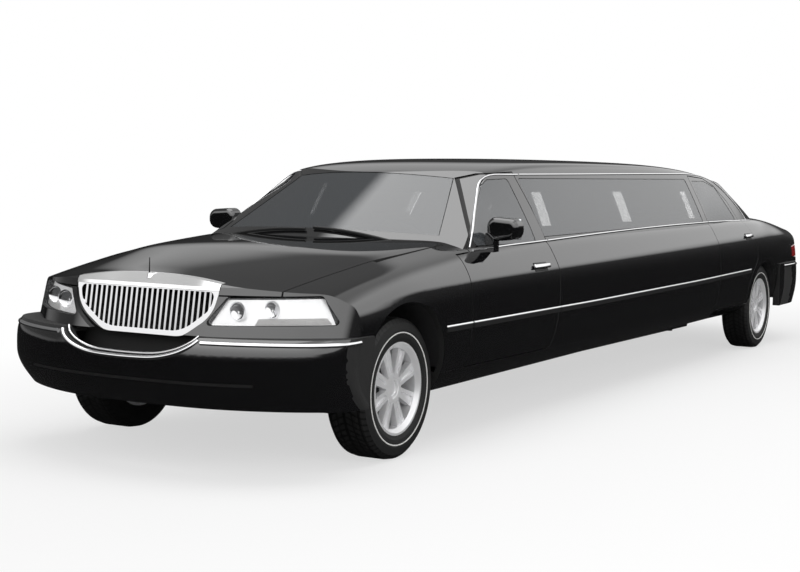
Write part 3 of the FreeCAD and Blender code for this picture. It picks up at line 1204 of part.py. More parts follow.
DASH_DEPTH = 260.0
DASH_HALF = 690.0
DASH_GAP = 32.0
DASH_TOP_Z = 1000.0
WHEEL_RIM_RADIUS = 185.0
WHEEL_TUBE_RADIUS = 13.0
COLUMN_TILT = 24.0
COLUMN_LENGTH = 165.0
WHEEL_SPOKE_RADIUS = 10.5
WHEEL_BOSS_RADIUS = 52.0
DRIVER_Y = SEAT_GAP + SEAT_WIDTH / 2


def dash_rear_x():
    return FRONT_AXLE_X - FIREWALL_SETBACK - DASH_GAP - DASH_DEPTH


def build_dashboard():
    x1 = dash_rear_x() + DASH_DEPTH
    x0 = dash_rear_x()
    outline = [(x1, DASH_TOP_Z - DASH_DEPTH), (x1, DASH_TOP_Z - SEAT_GAP),
               (x1 - DASH_DEPTH / 2, DASH_TOP_Z), (x0, DASH_TOP_Z - SEAT_GAP / 2),
               (x0 + SEAT_GAP, DASH_TOP_Z - DASH_DEPTH)]
    return rounded_prism(outline, SEAT_ROUNDING, lambda x, z: V(x, -DASH_HALF, z),
                         V(0, 2 * DASH_HALF, 0))


def build_steering_wheel():
    foot = V(dash_rear_x() - SEAT_CLEARANCE, DRIVER_Y, DASH_TOP_Z - SEAT_GAP)
    tilt = math.radians(COLUMN_TILT)
    axis = V(-math.cos(tilt), 0, math.sin(tilt))
    hub = foot + axis * COLUMN_LENGTH
    ring = Part.makeTorus(WHEEL_RIM_RADIUS, WHEEL_TUBE_RADIUS, hub, axis)
    column = cylinder(WHEEL_TUBE_RADIUS * 2, COLUMN_LENGTH, foot, axis)
    boss = cylinder(WHEEL_BOSS_RADIUS, 2 * WHEEL_TUBE_RADIUS, hub - axis * WHEEL_TUBE_RADIUS, axis)
    spoke = cylinder(WHEEL_SPOKE_RADIUS, 2 * WHEEL_RIM_RADIUS, hub - V(0, WHEEL_RIM_RADIUS, 0), V(0, 1, 0))
    return ring.fuse([column, boss, spoke])


def build_partition():
    # divider between the driver and the lounge, with its window opening
    x = FRONT_AXLE_X - FRONT_DOOR_REAR - PILLAR_WIDTH
    low, high = FLOOR_Z + FLOOR_THICKNESS, HEIGHT - PILLAR_THICKNESS - OVERRUN
    half = side_y(BELT_Z) - DOOR_THICKNESS - SEAT_CLEARANCE
    plate = box(x - FENDER_THICKNESS, x, -half, half, low, high)
    plate = plate.common(hull_door.fuse(green_inner))
    foot_z = sill_top + PANEL_GAP
    for side in (-1, 1):
        inner, outer = sorted((side * (FLOOR_HALF - SEAT_CLEARANCE), side * HALF_WIDTH))
        plate = plate.cut(box(-REACH, REACH, inner, outer, low, foot_z))
    window = box(x - OVERRUN, x + OVERRUN, -HALF_WIDTH / 2, HALF_WIDTH / 2, BELT_Z, high - 2 * OVERRUN)
    plate = plate.cut(tunnel(TUNNEL_HALF + SEAT_CLEARANCE, TUNNEL_TOP_Z + SEAT_CLEARANCE))
    return plate.cut(window)


def save(name, shape):
    shape.exportStep("parts/" + name + ".step")
    print(name, "solids", len(shape.Solids), "faces", len(shape.Faces),
          "volume", round(shape.Volume / 1e6, 2), "valid", shape.isValid())


os.makedirs("parts", exist_ok=True)

# Skins at the insets that the panels need
hull_outer = hull(0.0)
hull_lid = hull(LID_THICKNESS)
hull_fender = hull(FENDER_THICKNESS)
hull_door = hull(DOOR_THICKNESS)
green_outer = greenhouse(0.0)
green_glass = greenhouse(GLASS_INSET)
green_back = greenhouse(GLASS_INSET + GLASS_THICKNESS)
green_seat = greenhouse(GLASS_INSET + GLASS_THICKNESS + SEAT_CLEARANCE)
green_inner = greenhouse(PILLAR_THICKNESS)
pane_skin = green_glass.cut(green_back)

# Cutting blocks that several panels share
front_door_cut = door_block(front_door_outline(0.0), FRONT_DOOR_FIXED)
front_door_gap = door_block(front_door_outline(PANEL_GAP), FRONT_DOOR_FIXED)
rear_fixed = (0, len(rear_door_outline(0.0)) - 1)
rear_door_cut = door_block(rear_door_outline(0.0), rear_fixed)
rear_door_gap = door_block(rear_door_outline(PANEL_GAP), rear_fixed)
front_arch = arch_block(FRONT_AXLE_X, ARCH_HALF_WIDTH, ARCH_TOP_Z, 0, 2 * HALF_WIDTH, 0)
rear_arch = arch_block(REAR_AXLE_X, REAR_ARCH_HALF_WIDTH, REAR_ARCH_TOP_Z, 0, 2 * HALF_WIDTH, 0)
lamp_cut = lamp_block(-PANEL_GAP / 2)
grille_cut = grille_block(PANEL_GAP / 2)

door_front_x = FRONT_AXLE_X - FRONT_DOOR_FRONT
door_rear_x = FRONT_AXLE_X - FRONT_DOOR_REAR
sill_top = DOOR_BOTTOM_Z - PANEL_GAP
fender_shell = hull_outer.cut(hull_fender)
lid_shell = hull_outer.cut(hull_lid)
side_shell = hull_outer.cut(hull_door)


FENDER_REAR = 860.0
LUG_Y = 560.0
LUG_HALF = 40.0
LUG_LENGTH = 45.0
LUG_DEPTH = 16.0
FRONT_HINGE_SHARES = (0.34, 0.5)
HINGE_HEIGHT = 60.0
HINGE_ROOT = 30.0
HINGE_INNER_Y = 915.0

hull_seat = hull(LID_THICKNESS + SEAT_CLEARANCE)
hull_lug = hull(LID_THICKNESS + LUG_DEPTH)
hull_root = hull(LID_THICKNESS / 2)


def lid_lugs(root_a, root_b, tip):
    # a pair of straps fixed under the body skin between root_a and root_b, whose tips lie just
    # under the closed lid
    shapes = []
    for y in (-LUG_Y, LUG_Y):
        root = box(min(root_a, root_b), max(root_a, root_b), y - LUG_HALF, y + LUG_HALF,
                   TRUNK_MOUTH_Z, HEIGHT)
        whole = box(min(root_a, root_b, tip), max(root_a, root_b, tip), y - LUG_HALF, y + LUG_HALF,
                    TRUNK_MOUTH_Z, HEIGHT)
        strap = hull_seat.common(whole).fuse(hull_root.common(root))
        shapes.append(strap.cut(hull_lug))
    return shapes


def hinge_blocks(edge_x, shares):
    # door hinges on the body just ahead of the door's front edge, on the left side
    shapes = []
    for h in shares:
        z = h * HEIGHT
        block = box(edge_x + SEAT_CLEARANCE, edge_x + PANEL_GAP + HINGE_ROOT, HINGE_INNER_Y,
                    HALF_WIDTH * 2, z - HINGE_HEIGHT / 2, z + HINGE_HEIGHT / 2)
        shapes.append(hull_root.common(block))
    return shapes


def save_front():
    fender = slab(fender_shell, FRONT_AXLE_X - FENDER_REAR, REACH, 0, REACH, sill_top + SEAT_CLEARANCE,
                  HEIGHT)
    fender = fender.cut(hood_block(PANEL_GAP)).cut(front_arch).cut(lamp_cut).cut(grille_cut)
    fender = fender.cut(front_door_gap).cut(header_block(PANEL_GAP / 2))
    fender = fender.cut(box(FRONT_AXLE_X + ARCH_HALF_WIDTH * BUMPER_BACK_SHARE - SEAT_CLEARANCE, REACH, 0,
                            HALF_WIDTH * 2, -OVERRUN, BUMPER_TOP_Z + SEAT_CLEARANCE))
    fender = fender.cut(box(-REACH, FRONT_AXLE_X, 0, FLOOR_HALF, -OVERRUN, HEIGHT))
    fender = largest(fender.cut(green_outer)).fuse(hinge_blocks(door_front_x, FRONT_HINGE_SHARES))
    save("front_fenders", left_right([fender]))
    hood = lid_shell.common(hood_block(0.0)).cut(lamp_cut).cut(lamp_cut.mirror(V(0, 0, 0), V(0, 1, 0)))
    hood = hood.cut(grille_cut).cut(header_block(PANEL_GAP / 2)).cut(green_outer)
    save("hood", largest(hood))
    lamp = fender_shell.common(lamp_block(PANEL_GAP / 2)).cut(grille_cut)
    save("headlamps", left_right([largest(lamp)]))
    save("grille", build_grille())
    save("hood_ornament", build_ornament())
    back_x = FRONT_AXLE_X + ARCH_HALF_WIDTH * BUMPER_BACK_SHARE
    front, core = bumper(BUMPER_SHARES, FRONT_AXLE_X, FRONT_OVERHANG, 1, BUMPER_BOTTOM_Z, BUMPER_TOP_Z,
                         back_x)
    front = front.cut(bumper_dip()).cut(bumper_slots(core))
    half = GRILLE_HALF_WIDTH + PANEL_GAP
    front = front.cut(box(-REACH, FRONT_AXLE_X + HEADER_REAR - OVERRUN, -half, half, -OVERRUN, HEIGHT))
    front = front.cut(box(-REACH, FRONT_AXLE_X + FRONT_OVERHANG - GRILLE_FACE_SETBACK + PANEL_GAP, -half,
                          half, GRILLE_BOTTOM_Z - SEAT_CLEARANCE, HEIGHT))
    front = front.cut(front_arch).cut(front_arch.mirror(V(0, 0, 0), V(0, 1, 0)))
    save("front_bumper", largest(front))
    half = FLOOR_HALF - SEAT_CLEARANCE
    cowl = lid_shell.common(box(FRONT_AXLE_X - 2 * COWL_SETBACK, FRONT_AXLE_X, -half, half,
                                SKIN_TOP_Z / 2, HEIGHT))
    cowl = cowl.cut(hood_block(PANEL_GAP)).cut(green_outer)
    root_x = bowed_rear(LUG_Y + LUG_HALF, WINDSHIELD_BASE_SETBACK - HOOD_REAR_GAP)
    lugs = lid_lugs(root_x - 2 * LUG_LENGTH, root_x - PANEL_GAP, root_x + 2 * LUG_LENGTH)
    save("cowl", largest(cowl).fuse(lugs))


# Number plate pad with the usual four holes, 7 by 4.75 inches apart
PLATE_SETBACK = 1412.0
PLATE_PAD_DEPTH = 34.0
PLATE_PAD_HALF = 170.0
PLATE_PAD_HEIGHT = 162.0
PLATE_Z = 806.0
PLATE_HOLE_Y = 88.9
PLATE_HOLE_Z = 60.325
PLATE_HOLE_RADIUS = 3.5
PLATE_HOLE_DEPTH = 16.0
PLATE_RADIUS = 14.0


def plate_pad():
    low, high = PLATE_Z - PLATE_PAD_HEIGHT / 2, PLATE_Z + PLATE_PAD_HEIGHT / 2
    outline = [(-PLATE_PAD_HALF, low), (PLATE_PAD_HALF, low), (PLATE_PAD_HALF, high),
               (-PLATE_PAD_HALF, high)]
    return rounded_prism(outline, PLATE_RADIUS, lambda y, z: V(REAR_AXLE_X - PLATE_SETBACK, y, z),
                         V(PLATE_PAD_DEPTH, 0, 0))


def save_sides():
    sill = slab(hull_outer, FRONT_AXLE_X - WHEELBASE, FRONT_AXLE_X, FLOOR_HALF + SEAT_CLEARANCE,
                HALF_WIDTH * 2, -OVERRUN, sill_top)
    sill = sill.cut(front_arch).cut(rear_arch)
    save("sills", left_right([largest(sill)]))
    inner_y = side_y(BELT_Z) - DOOR_THICKNESS
    panel = slab(side_shell, REAR_AXLE_X + REAR_DOOR_FRONT_FROM_REAR_AXLE / 2, door_rear_x + PILLAR_WIDTH,
                 inner_y, HALF_WIDTH * 2, sill_top + SEAT_CLEARANCE, HEIGHT)
    panel = panel.cut(front_door_gap).cut(rear_door_gap)
    edge_x = REAR_AXLE_X + REAR_DOOR_FRONT_FROM_REAR_AXLE
    panel = largest(panel).fuse(hinge_blocks(edge_x, FRONT_HINGE_SHARES))
    save("side_panels", left_right([panel]))
    quarter = slab(fender_shell, -REACH, REAR_AXLE_X + REAR_DOOR_FRONT_FROM_REAR_AXLE / 2, 0,
                   HALF_WIDTH * 2, sill_top + SEAT_CLEARANCE, HEIGHT)
    quarter = quarter.cut(rear_door_gap).cut(rear_arch).cut(lid_block(PANEL_GAP))
    quarter = quarter.cut(tail_lamp_block(-PANEL_GAP / 2))
    quarter = quarter.cut(box(-REACH, REAR_AXLE_X - REAR_ARCH_HALF_WIDTH * ARCH_SEAM_SHARE, 0,
                              HALF_WIDTH * 2, -OVERRUN, REAR_BUMPER_TOP_Z + SEAT_CLEARANCE))
    deck_x = REAR_AXLE_X - DECK_FRONT_FROM_REAR_AXLE
    deck_half = seam_y(LID_SIDE_SHARES[0])
    quarter = quarter.cut(box(deck_x, REACH, 0, deck_half, -OVERRUN, HEIGHT))
    quarter = quarter.cut(green_outer)
    save("quarter_panels", left_right([largest(quarter)]))
    lid = largest(lid_shell.common(lid_block(0.0))).fuse(plate_pad())
    for y in (-PLATE_HOLE_Y, PLATE_HOLE_Y):
        for z in (PLATE_Z - PLATE_HOLE_Z, PLATE_Z + PLATE_HOLE_Z):
            lid = lid.cut(cylinder(PLATE_HOLE_RADIUS, PLATE_HOLE_DEPTH,
                                   V(REAR_AXLE_X - PLATE_SETBACK, y, z), V(1, 0, 0)))
    save("trunk_lid", lid)
    deck = slab(lid_shell, deck_x + PANEL_GAP, REAR_AXLE_X, -deck_half + SEAT_CLEARANCE,
                deck_half - SEAT_CLEARANCE, SKIN_TOP_Z / 2, HEIGHT)
    lugs = lid_lugs(deck_x + PANEL_GAP, deck_x + 2 * LUG_LENGTH, deck_x - LUG_LENGTH)
    save("rear_deck", largest(deck.cut(green_outer)).fuse(lugs))
    lamp = fender_shell.common(tail_lamp_block(PANEL_GAP / 2))
    save("tail_lamps", left_right([largest(lamp)]))
    rear, core = bumper(REAR_BUMPER_SHARES, REAR_AXLE_X, REAR_OVERHANG, -1, REAR_BUMPER_BOTTOM_Z,
                        REAR_BUMPER_TOP_Z, REAR_AXLE_X - REAR_ARCH_HALF_WIDTH)
    boot_x = REAR_AXLE_X - REAR_OVERHANG * BOOT_END_SHARE - SEAT_CLEARANCE
    half = REAR_FLOOR_HALF + SEAT_CLEARANCE
    rear = rear.cut(box(boot_x, REACH, -half, half, REAR_FLOOR_Z - SEAT_CLEARANCE, HEIGHT))
    save("rear_bumper", largest(rear.cut(rear_arch).cut(rear_arch.mirror(V(0, 0, 0), V(0, 1, 0)))))


WINDSHIELD_SIZES = (695.0, 520.0, 60.0, 20.0)
BACKLIGHT_SIZES = (640.0, 520.0, 40.0, 20.0)
REBATE_LEDGE = 24.0


def save_glass():
    roof = green_outer.cut(green_inner).cut(hull_outer)
    for front, sizes, name in ((True, WINDSHIELD_SIZES, "windshield"),
                               (False, BACKLIGHT_SIZES, "rear_window")):
        roof = roof.cut(window_block(front, *sizes, 0.0).cut(green_seat))
        roof = roof.cut(window_block(front, *sizes, REBATE_LEDGE))
        save(name, largest(pane_skin.common(window_block(front, *sizes, PANEL_GAP / 2))))
    for flip in (False, True):
        blocks = [front_door_gap, rear_door_gap,
                  side_prism(long_glass_outline(0.0), REBATE_LEDGE).cut(green_seat),
                  side_prism(long_glass_outline(REBATE_LEDGE + PANEL_GAP), REBATE_LEDGE)]
        for block in blocks:
            roof = roof.cut(block.mirror(V(0, 0, 0), V(0, 1, 0)) if flip else block)
    save("roof", largest(roof))
    pane = pane_skin.common(side_prism(long_glass_outline(PANEL_GAP / 2), REBATE_LEDGE))
    save("side_windows", left_right([largest(pane.cut(front_door_gap))]))


DOOR_CLEARANCE = 70.0
DOOR_ARCH_GAP = 15.0
DOOR_CAP_INNER_Y = 622.0
DOOR_CAP_Z = 1380.0
DOOR_LIP_INNER_Y = 672.0
DOOR_LIP_Z = 1410.0
MIRROR_X = 1118.0
MIRROR_DEPTH = 88.0
MIRROR_INNER_Y = 852.0
MIRROR_OUTER_Y = 1042.0
MIRROR_LOW_Z = 1036.0
MIRROR_HIGH_Z = 1180.0
MIRROR_RADIUS = 52.0
MIRROR_FOOT_LOW_Z = 985.0
MIRROR_FOOT_BACK = 22.0
MIRROR_TOP_DROP = 14.0
MIRROR_EDGE_RADIUS = 29.0


def build_mirror():
    # the left door mirror: a rounded shell on a foot at the window's front corner
    rear_x = FRONT_AXLE_X - MIRROR_X
    outline = [(MIRROR_INNER_Y, MIRROR_LOW_Z), (MIRROR_OUTER_Y, MIRROR_LOW_Z + MIRROR_FOOT_BACK),
               (MIRROR_OUTER_Y, MIRROR_HIGH_Z - MIRROR_TOP_DROP), (MIRROR_INNER_Y, MIRROR_HIGH_Z)]
    head = rounded_prism(outline, MIRROR_RADIUS, lambda y, z: V(rear_x, y, z), V(MIRROR_DEPTH, 0, 0))
    front = [e for e in head.Edges if e.BoundBox.XMin > rear_x + MIRROR_DEPTH / 2]
    head = head.makeFillet(MIRROR_EDGE_RADIUS, front)
    foot = box(rear_x + MIRROR_FOOT_BACK, rear_x + MIRROR_DEPTH, MIRROR_INNER_Y,
               MIRROR_INNER_Y + MIRROR_RADIUS, MIRROR_FOOT_LOW_Z, MIRROR_LOW_Z + MIRROR_RADIUS)
    return head.fuse(foot)


def save_doors():
    outer = hull_outer.fuse(green_outer)
    inner = hull_door.fuse(green_inner)
    for name, block, outline in (("front", front_door_cut, front_glass_outline),
                                 ("rear", rear_door_cut, rear_glass_outline)):
        door = outer.common(block).cut(inner)
        inner_y = FLOOR_HALF - DOOR_CLEARANCE
        door = door.cut(box(-REACH, REACH, 0, inner_y, -OVERRUN, DASH_TOP_Z + PANEL_GAP))
        if name == "rear":
            # the top edge reaches no further in than this, so that it swings out under the roof
            door = door.cut(box(-REACH, REACH, 0, DOOR_CAP_INNER_Y, DOOR_CAP_Z, HEIGHT))
            door = door.cut(box(-REACH, REACH, 0, DOOR_LIP_INNER_Y, DOOR_LIP_Z, HEIGHT))
            door = door.cut(arch_block(REAR_AXLE_X, REAR_ARCH_HALF_WIDTH, REAR_ARCH_TOP_Z, 0,
                                       2 * HALF_WIDTH, DOOR_ARCH_GAP))
        door = door.cut(side_prism(outline(0.0), REBATE_LEDGE).cut(green_seat))
        door = door.cut(side_prism(outline(REBATE_LEDGE), REBATE_LEDGE))
        door = largest(door)
        if name == "front":
            mirror = largest(build_mirror().cut(outer))
            save("mirror_left", mirror)
            save("mirror_right", both_sides(mirror)[1])
        pane = largest(pane_skin.common(side_prism(outline(PANEL_GAP / 2), REBATE_LEDGE)))
        for side, i in (("left", 0), ("right", 1)):
            save(name + "_door_" + side, both_sides(door)[i])
            save(name + "_glass_" + side, both_sides(pane)[i])


LINER_THICKNESS = 4.0
FRONT_LINER_Y = 470.0
LINER_BOTTOM_Z = 420.0
FRONT_LINER_ROOM = 6.0


def build_wheel_houses():
    shapes = []
    # the front liner stands a little further back, clear of the steered tyre's inner corner
    for axle_x, half, top, inner_y in ((FRONT_AXLE_X - FRONT_LINER_ROOM, ARCH_HALF_WIDTH + FRONT_LINER_ROOM,
                                        ARCH_TOP_Z, FRONT_LINER_Y),
                                       (REAR_AXLE_X, REAR_ARCH_HALF_WIDTH, REAR_ARCH_TOP_Z,
                                        REAR_FLOOR_HALF + SEAT_CLEARANCE)):
        outer = arch_block(axle_x, half, top, inner_y, HALF_WIDTH, LINER_THICKNESS)
        inner = arch_block(axle_x, half, top, inner_y, HALF_WIDTH, 0)
        liner = outer.cut(inner).common(hull_fender)
        liner = slab(liner, -REACH, REACH, 0, HALF_WIDTH, LINER_BOTTOM_Z, HEIGHT)
        liner = liner.cut(box(FRONT_AXLE_X + ARCH_HALF_WIDTH * BUMPER_BACK_SHARE - PANEL_GAP, REACH,
                              HALF_WIDTH - BUMPER_THICKNESS - FENDER_THICKNESS, REACH, -OVERRUN,
                              BUMPER_TOP_Z + SEAT_CLEARANCE))
        shapes.append(largest(liner))
    return left_right(shapes)


def save_running_gear():
    tyre, rim = build_tyre(), build_rim()
    for end, x, y in (("front", FRONT_AXLE_X, FRONT_WHEEL_Y), ("rear", REAR_AXLE_X, REAR_WHEEL_Y)):
        for side, sign in (("left", 1), ("right", -1)):
            save(end + "_" + side + "_tyre", placed_wheel(tyre, x, sign * y))
            save(end + "_" + side + "_rim", placed_wheel(rim, x, sign * y))
    knuckle = build_knuckle()
    save("knuckle_left", knuckle)
    save("knuckle_right", knuckle.mirror(V(0, 0, 0), V(0, 1, 0)))
    save("front_suspension", left_right([build_front_suspension()]))
    save("rear_axle", build_rear_axle())
    save("chassis_frame", build_frame())
    save("engine_block", build_engine())
    save("floor_pan", build_floor())
    save("driveshaft", build_driveshaft())
    save("exhaust", build_exhaust())
    save("fuel_tank", build_fuel_tank())
    save("radiator", build_radiator())
    save("wheel_houses", build_wheel_houses())


def save_cabin():
    save("front_seats", build_front_seats())
    save("lounge_seats", build_lounge_seats())
    save("dashboard", build_dashboard())
    save("steering_wheel", build_steering_wheel())
    save("partition", build_partition())


save_front()
save_sides()
save_glass()
save_doors()
save_running_gear()
save_cabin()
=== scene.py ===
# %% [markdown]
# # A stretch limousine dressed in Blender
# The CAD model is a fixed frame: every panel, wheel, seat and lamp body already stands where it
# belongs. This lesson adds what the eye looks for on a polished car: clean reflections in black
# paint, bright trim, lamps with something inside them, tyres with a tread, and a cabin that can
# be seen through tinted glass. First the frame is loaded.

# %% Load the frame
import json
import math

import bpy
import numpy as np
from mathutils import Matrix, Vector

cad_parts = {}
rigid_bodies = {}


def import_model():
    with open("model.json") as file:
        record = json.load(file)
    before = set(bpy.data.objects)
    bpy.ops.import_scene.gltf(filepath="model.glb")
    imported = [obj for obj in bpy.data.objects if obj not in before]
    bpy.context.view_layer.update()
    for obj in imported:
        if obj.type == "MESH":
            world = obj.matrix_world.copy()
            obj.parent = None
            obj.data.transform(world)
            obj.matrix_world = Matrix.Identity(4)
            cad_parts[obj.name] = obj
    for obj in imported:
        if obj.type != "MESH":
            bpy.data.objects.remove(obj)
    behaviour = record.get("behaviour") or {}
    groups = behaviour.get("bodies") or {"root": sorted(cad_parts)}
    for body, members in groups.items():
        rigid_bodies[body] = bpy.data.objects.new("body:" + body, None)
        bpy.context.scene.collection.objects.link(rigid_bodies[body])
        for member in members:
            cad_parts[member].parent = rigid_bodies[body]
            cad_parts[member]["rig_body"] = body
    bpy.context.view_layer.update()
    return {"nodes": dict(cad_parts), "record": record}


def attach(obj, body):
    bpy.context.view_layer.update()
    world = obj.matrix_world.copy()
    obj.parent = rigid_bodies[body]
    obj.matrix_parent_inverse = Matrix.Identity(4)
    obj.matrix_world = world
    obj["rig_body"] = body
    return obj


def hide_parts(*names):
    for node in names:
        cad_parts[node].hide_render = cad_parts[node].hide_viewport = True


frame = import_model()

NODES = frame["nodes"]

# %% [markdown]
# ## The camera
# The photograph looks along the car's left side from just ahead of its nose, from a little under
# the roof's height, with a long lens that keeps the far end large. The camera stands where the
# wheels and the window lines of the photograph meet, so it needs no shift.

# %% Set the camera
CAMERA_PLACE = (9.5988, 4.5327, 1.4076)
HEADING, TILT, ROLL = -150.273, -4.309, 1.046
LENS, SENSOR_WIDTH, SIGHT = 67.55, 36.0, 200.0


def look_matrix(place, yaw, pitch, roll):
    # turn a heading in degrees into a camera's place and turn
    y, p, r = math.radians(yaw), math.radians(pitch), math.radians(roll)
    ahead = Vector((math.cos(p) * math.cos(y), math.cos(p) * math.sin(y), math.sin(p)))
    right = ahead.cross(Vector((0, 0, 1))).normalized()
    up = right.cross(ahead)
    across = right * math.cos(r) + up * math.sin(r)
    above = up * math.cos(r) - right * math.sin(r)
    turn = Matrix((across, above, -ahead)).transposed().to_4x4()
    return Matrix.Translation(place) @ turn


camera = bpy.data.objects.new("camera", bpy.data.cameras.new("camera"))
bpy.context.scene.collection.objects.link(camera)
camera.matrix_world = look_matrix(CAMERA_PLACE, HEADING, TILT, ROLL)
camera.data.lens, camera.data.sensor_width, camera.data.clip_end = LENS, SENSOR_WIDTH, SIGHT
bpy.context.scene.camera = camera
bpy.context.scene.view_settings.view_transform = "Standard"
print("camera at", [round(v, 2) for v in camera.matrix_world.translation])

# %% [markdown]
# ## Shader nodes in few words
# Sky, floor and finishes are all made of shader nodes. One small helper adds a node with its
# values and links, so that each look below reads like a list of what it is made of.

# %% Wire shader nodes
class Wiring:
    """Adds shader nodes to one node tree and links them."""

    def __init__(self, tree):
        self.nodes, self.links = tree.nodes, tree.links

    def add(self, kind, values=None, **settings):
        # one node; each of its values is plain or the output of another node
        node = self.nodes.new("ShaderNode" + kind)
        for key, value in settings.items():
            setattr(node, key, value)
        for socket, value in (values or {}).items():
            if isinstance(value, bpy.types.NodeSocket):
                self.links.new(value, node.inputs[socket])
            else:
                node.inputs[socket].default_value = value
        return node

    def math(self, kind, *values):
        return self.add("Math", dict(enumerate(values)), operation=kind).outputs[0]

    def mixed(self, share, first, second):
        return self.add("MixShader", {0: share, 1: first, 2: second}).outputs[0]


def emptied(owner):
    # the wiring of a world or a material with nothing in it yet
    owner.use_nodes = True
    owner.node_tree.nodes.clear()
    return Wiring(owner.node_tree)


def grey(value):
    return value, value, value, 1


print("shader helper ready")

# %% [markdown]
# ## Floor, sky and lamps
# Black paint has almost no colour of its own; it shows what stands around it. A bright ceiling
# over a dark horizon draws the pale band along the shoulders and leaves the flanks deep, as in a
# studio. The camera itself sees plain white behind the car and a pale floor with a soft shadow.

# %% Build the studio
def sky_ramp(wiring, height, stops):
    # brightness by height: a place of 0 is straight down, 0.5 the horizon, 1 straight up
    ramp = wiring.add("ValToRGB", {0: height})
    ends = ramp.color_ramp.elements
    for end, (at, value) in zip(ends, (stops[0], stops[-1])):
        end.position, end.color = at, grey(value)
    for at, value in stops[1:-1]:
        ends.new(at).color = grey(value)
    return ramp.outputs[0]


def blend_by(wiring, value, low, high, first, second):
    # one colour gives way to another as a value passes from low to high
    share = wiring.add("MapRange", {"Value": value, "From Min": low, "From Max": high},
                       interpolation_type="SMOOTHSTEP")
    return wiring.add("Mix", {"Factor": share.outputs["Result"], 6: first, 7: second},
                      data_type="RGBA").outputs[2]


LEFT_SKY = ((0.0, 0.008), (0.5, 0.01), (0.57, 0.04), (0.592, 0.36), (0.61, 0.5), (0.885, 0.56),
            (0.905, 0.95), (1.0, 1.0))
RIGHT_SKY = ((0.0, 0.01), (0.495, 0.02), (0.51, 0.14), (0.53, 0.13), (0.56, 0.065), (0.64, 0.062),
             (0.885, 0.1), (0.905, 0.95), (1.0, 1.0))
FRONT_SKY = ((0.0, 0.008), (0.5, 0.012), (0.53, 0.04), (0.565, 0.42), (0.72, 0.6), (0.9, 0.9),
             (1.0, 1.0))
SKY_STRENGTH, SOFT_STRENGTH, CALM_SHARE = 2.4, 0.55, 0.46
SKY_SLANT, CALM_EDGE, SIDE_EDGE, FRONT_EDGE = -1.27, (-0.75, -0.35), (-1.02, -0.92), (0.35, 0.7)
FLOOR_SIZE, FLOOR_GREY, FLOOR_DARK, FLOOR_SQUEEZE = 160, 0.82, 0.02, (0.45, 1.0, 1.0)
FADE = {"From Min": 1.2, "From Max": 4.0, "To Min": 0.6, "To Max": 1.0}


def build_world():
    # the paint mirrors the three skies, the camera sees plain white
    world = bpy.data.worlds.new("studio")
    wiring = emptied(world)
    place = wiring.add("TexCoord").outputs["Generated"]
    x, y, z = wiring.add("SeparateXYZ", {0: place}).outputs
    height = wiring.math("MULTIPLY_ADD", z, 0.5, 0.5)
    left, right, front = [sky_ramp(wiring, height, stops)
                          for stops in (LEFT_SKY, RIGHT_SKY, FRONT_SKY)]
    slant = wiring.math("MULTIPLY_ADD", z, SKY_SLANT, y)
    calm = wiring.add("MixRGB", {"Fac": 1.0, "Color1": left, "Color2": grey(CALM_SHARE)},
                      blend_type="MULTIPLY").outputs[0]
    left = blend_by(wiring, slant, *CALM_EDGE, calm, left)
    sides = blend_by(wiring, slant, *SIDE_EDGE, right, left)
    whole = blend_by(wiring, x, *FRONT_EDGE, sides, front)
    plain = wiring.add("Background", {"Color": grey(1)}).outputs[0]
    mirrored = wiring.add("Background", {"Color": whole, "Strength": SKY_STRENGTH}).outputs[0]
    soft = wiring.add("Background", {"Strength": SOFT_STRENGTH}).outputs[0]
    path = wiring.add("LightPath").outputs
    sky = wiring.mixed(path["Is Glossy Ray"], soft, mirrored)
    clear = wiring.math("MAXIMUM", path["Is Camera Ray"], path["Is Transmission Ray"])
    wiring.add("OutputWorld", {0: wiring.mixed(clear, sky, plain)})
    bpy.context.scene.world = world


def build_floor():
    # pale and matt near the car, running into the white backdrop further out
    material = bpy.data.materials.new("pale floor")
    wiring = emptied(material)
    matt = wiring.add("BsdfDiffuse", {"Color": grey(FLOOR_GREY)}).outputs[0]
    white = wiring.add("Emission", {"Color": grey(1)}).outputs[0]
    deep = wiring.add("Emission", {"Color": grey(FLOOR_DARK)}).outputs[0]
    place = wiring.add("TexCoord").outputs["Object"]
    squeezed = wiring.add("VectorMath", {0: place, 1: FLOOR_SQUEEZE}, operation="MULTIPLY")
    far = wiring.add("VectorMath", {0: squeezed.outputs[0]}, operation="LENGTH")
    fade = wiring.add("MapRange", {"Value": far.outputs["Value"], **FADE},
                      interpolation_type="SMOOTHSTEP")
    path = wiring.add("LightPath").outputs
    share = wiring.math("MULTIPLY", path["Is Camera Ray"], fade.outputs["Result"])
    lit = wiring.mixed(share, matt, white)
    wiring.add("OutputMaterial", {0: wiring.mixed(path["Is Glossy Ray"], lit, deep)})
    bpy.ops.object.select_all(action="DESELECT")
    bpy.ops.mesh.primitive_plane_add(size=FLOOR_SIZE, location=(0, 0, 0))
    floor = bpy.context.object
    floor.name = "studio_floor"
    floor.data.materials.append(material)


def area_lamp(name, place, target, size, power):
    data = bpy.data.lights.new(name, "AREA")
    data.shape = "RECTANGLE"
    data.size, data.size_y = size
    data.energy = power
    lamp = bpy.data.objects.new(name, data)
    bpy.context.scene.collection.objects.link(lamp)
    lamp.location = place
    lamp.rotation_euler = (Vector(target) - Vector(place)).to_track_quat("-Z", "Y").to_euler()
    lamp.visible_glossy = False


build_world()
build_floor()
area_lamp("ceiling_lamp", (1.0, 1.0, 7.5), (0, 0, 0), (10.0, 5.0), 420)
area_lamp("side_lamp", (6.0, 8.0, 4.0), (0, 0, 0.6), (6.0, 3.0), 180)
print("studio ready")

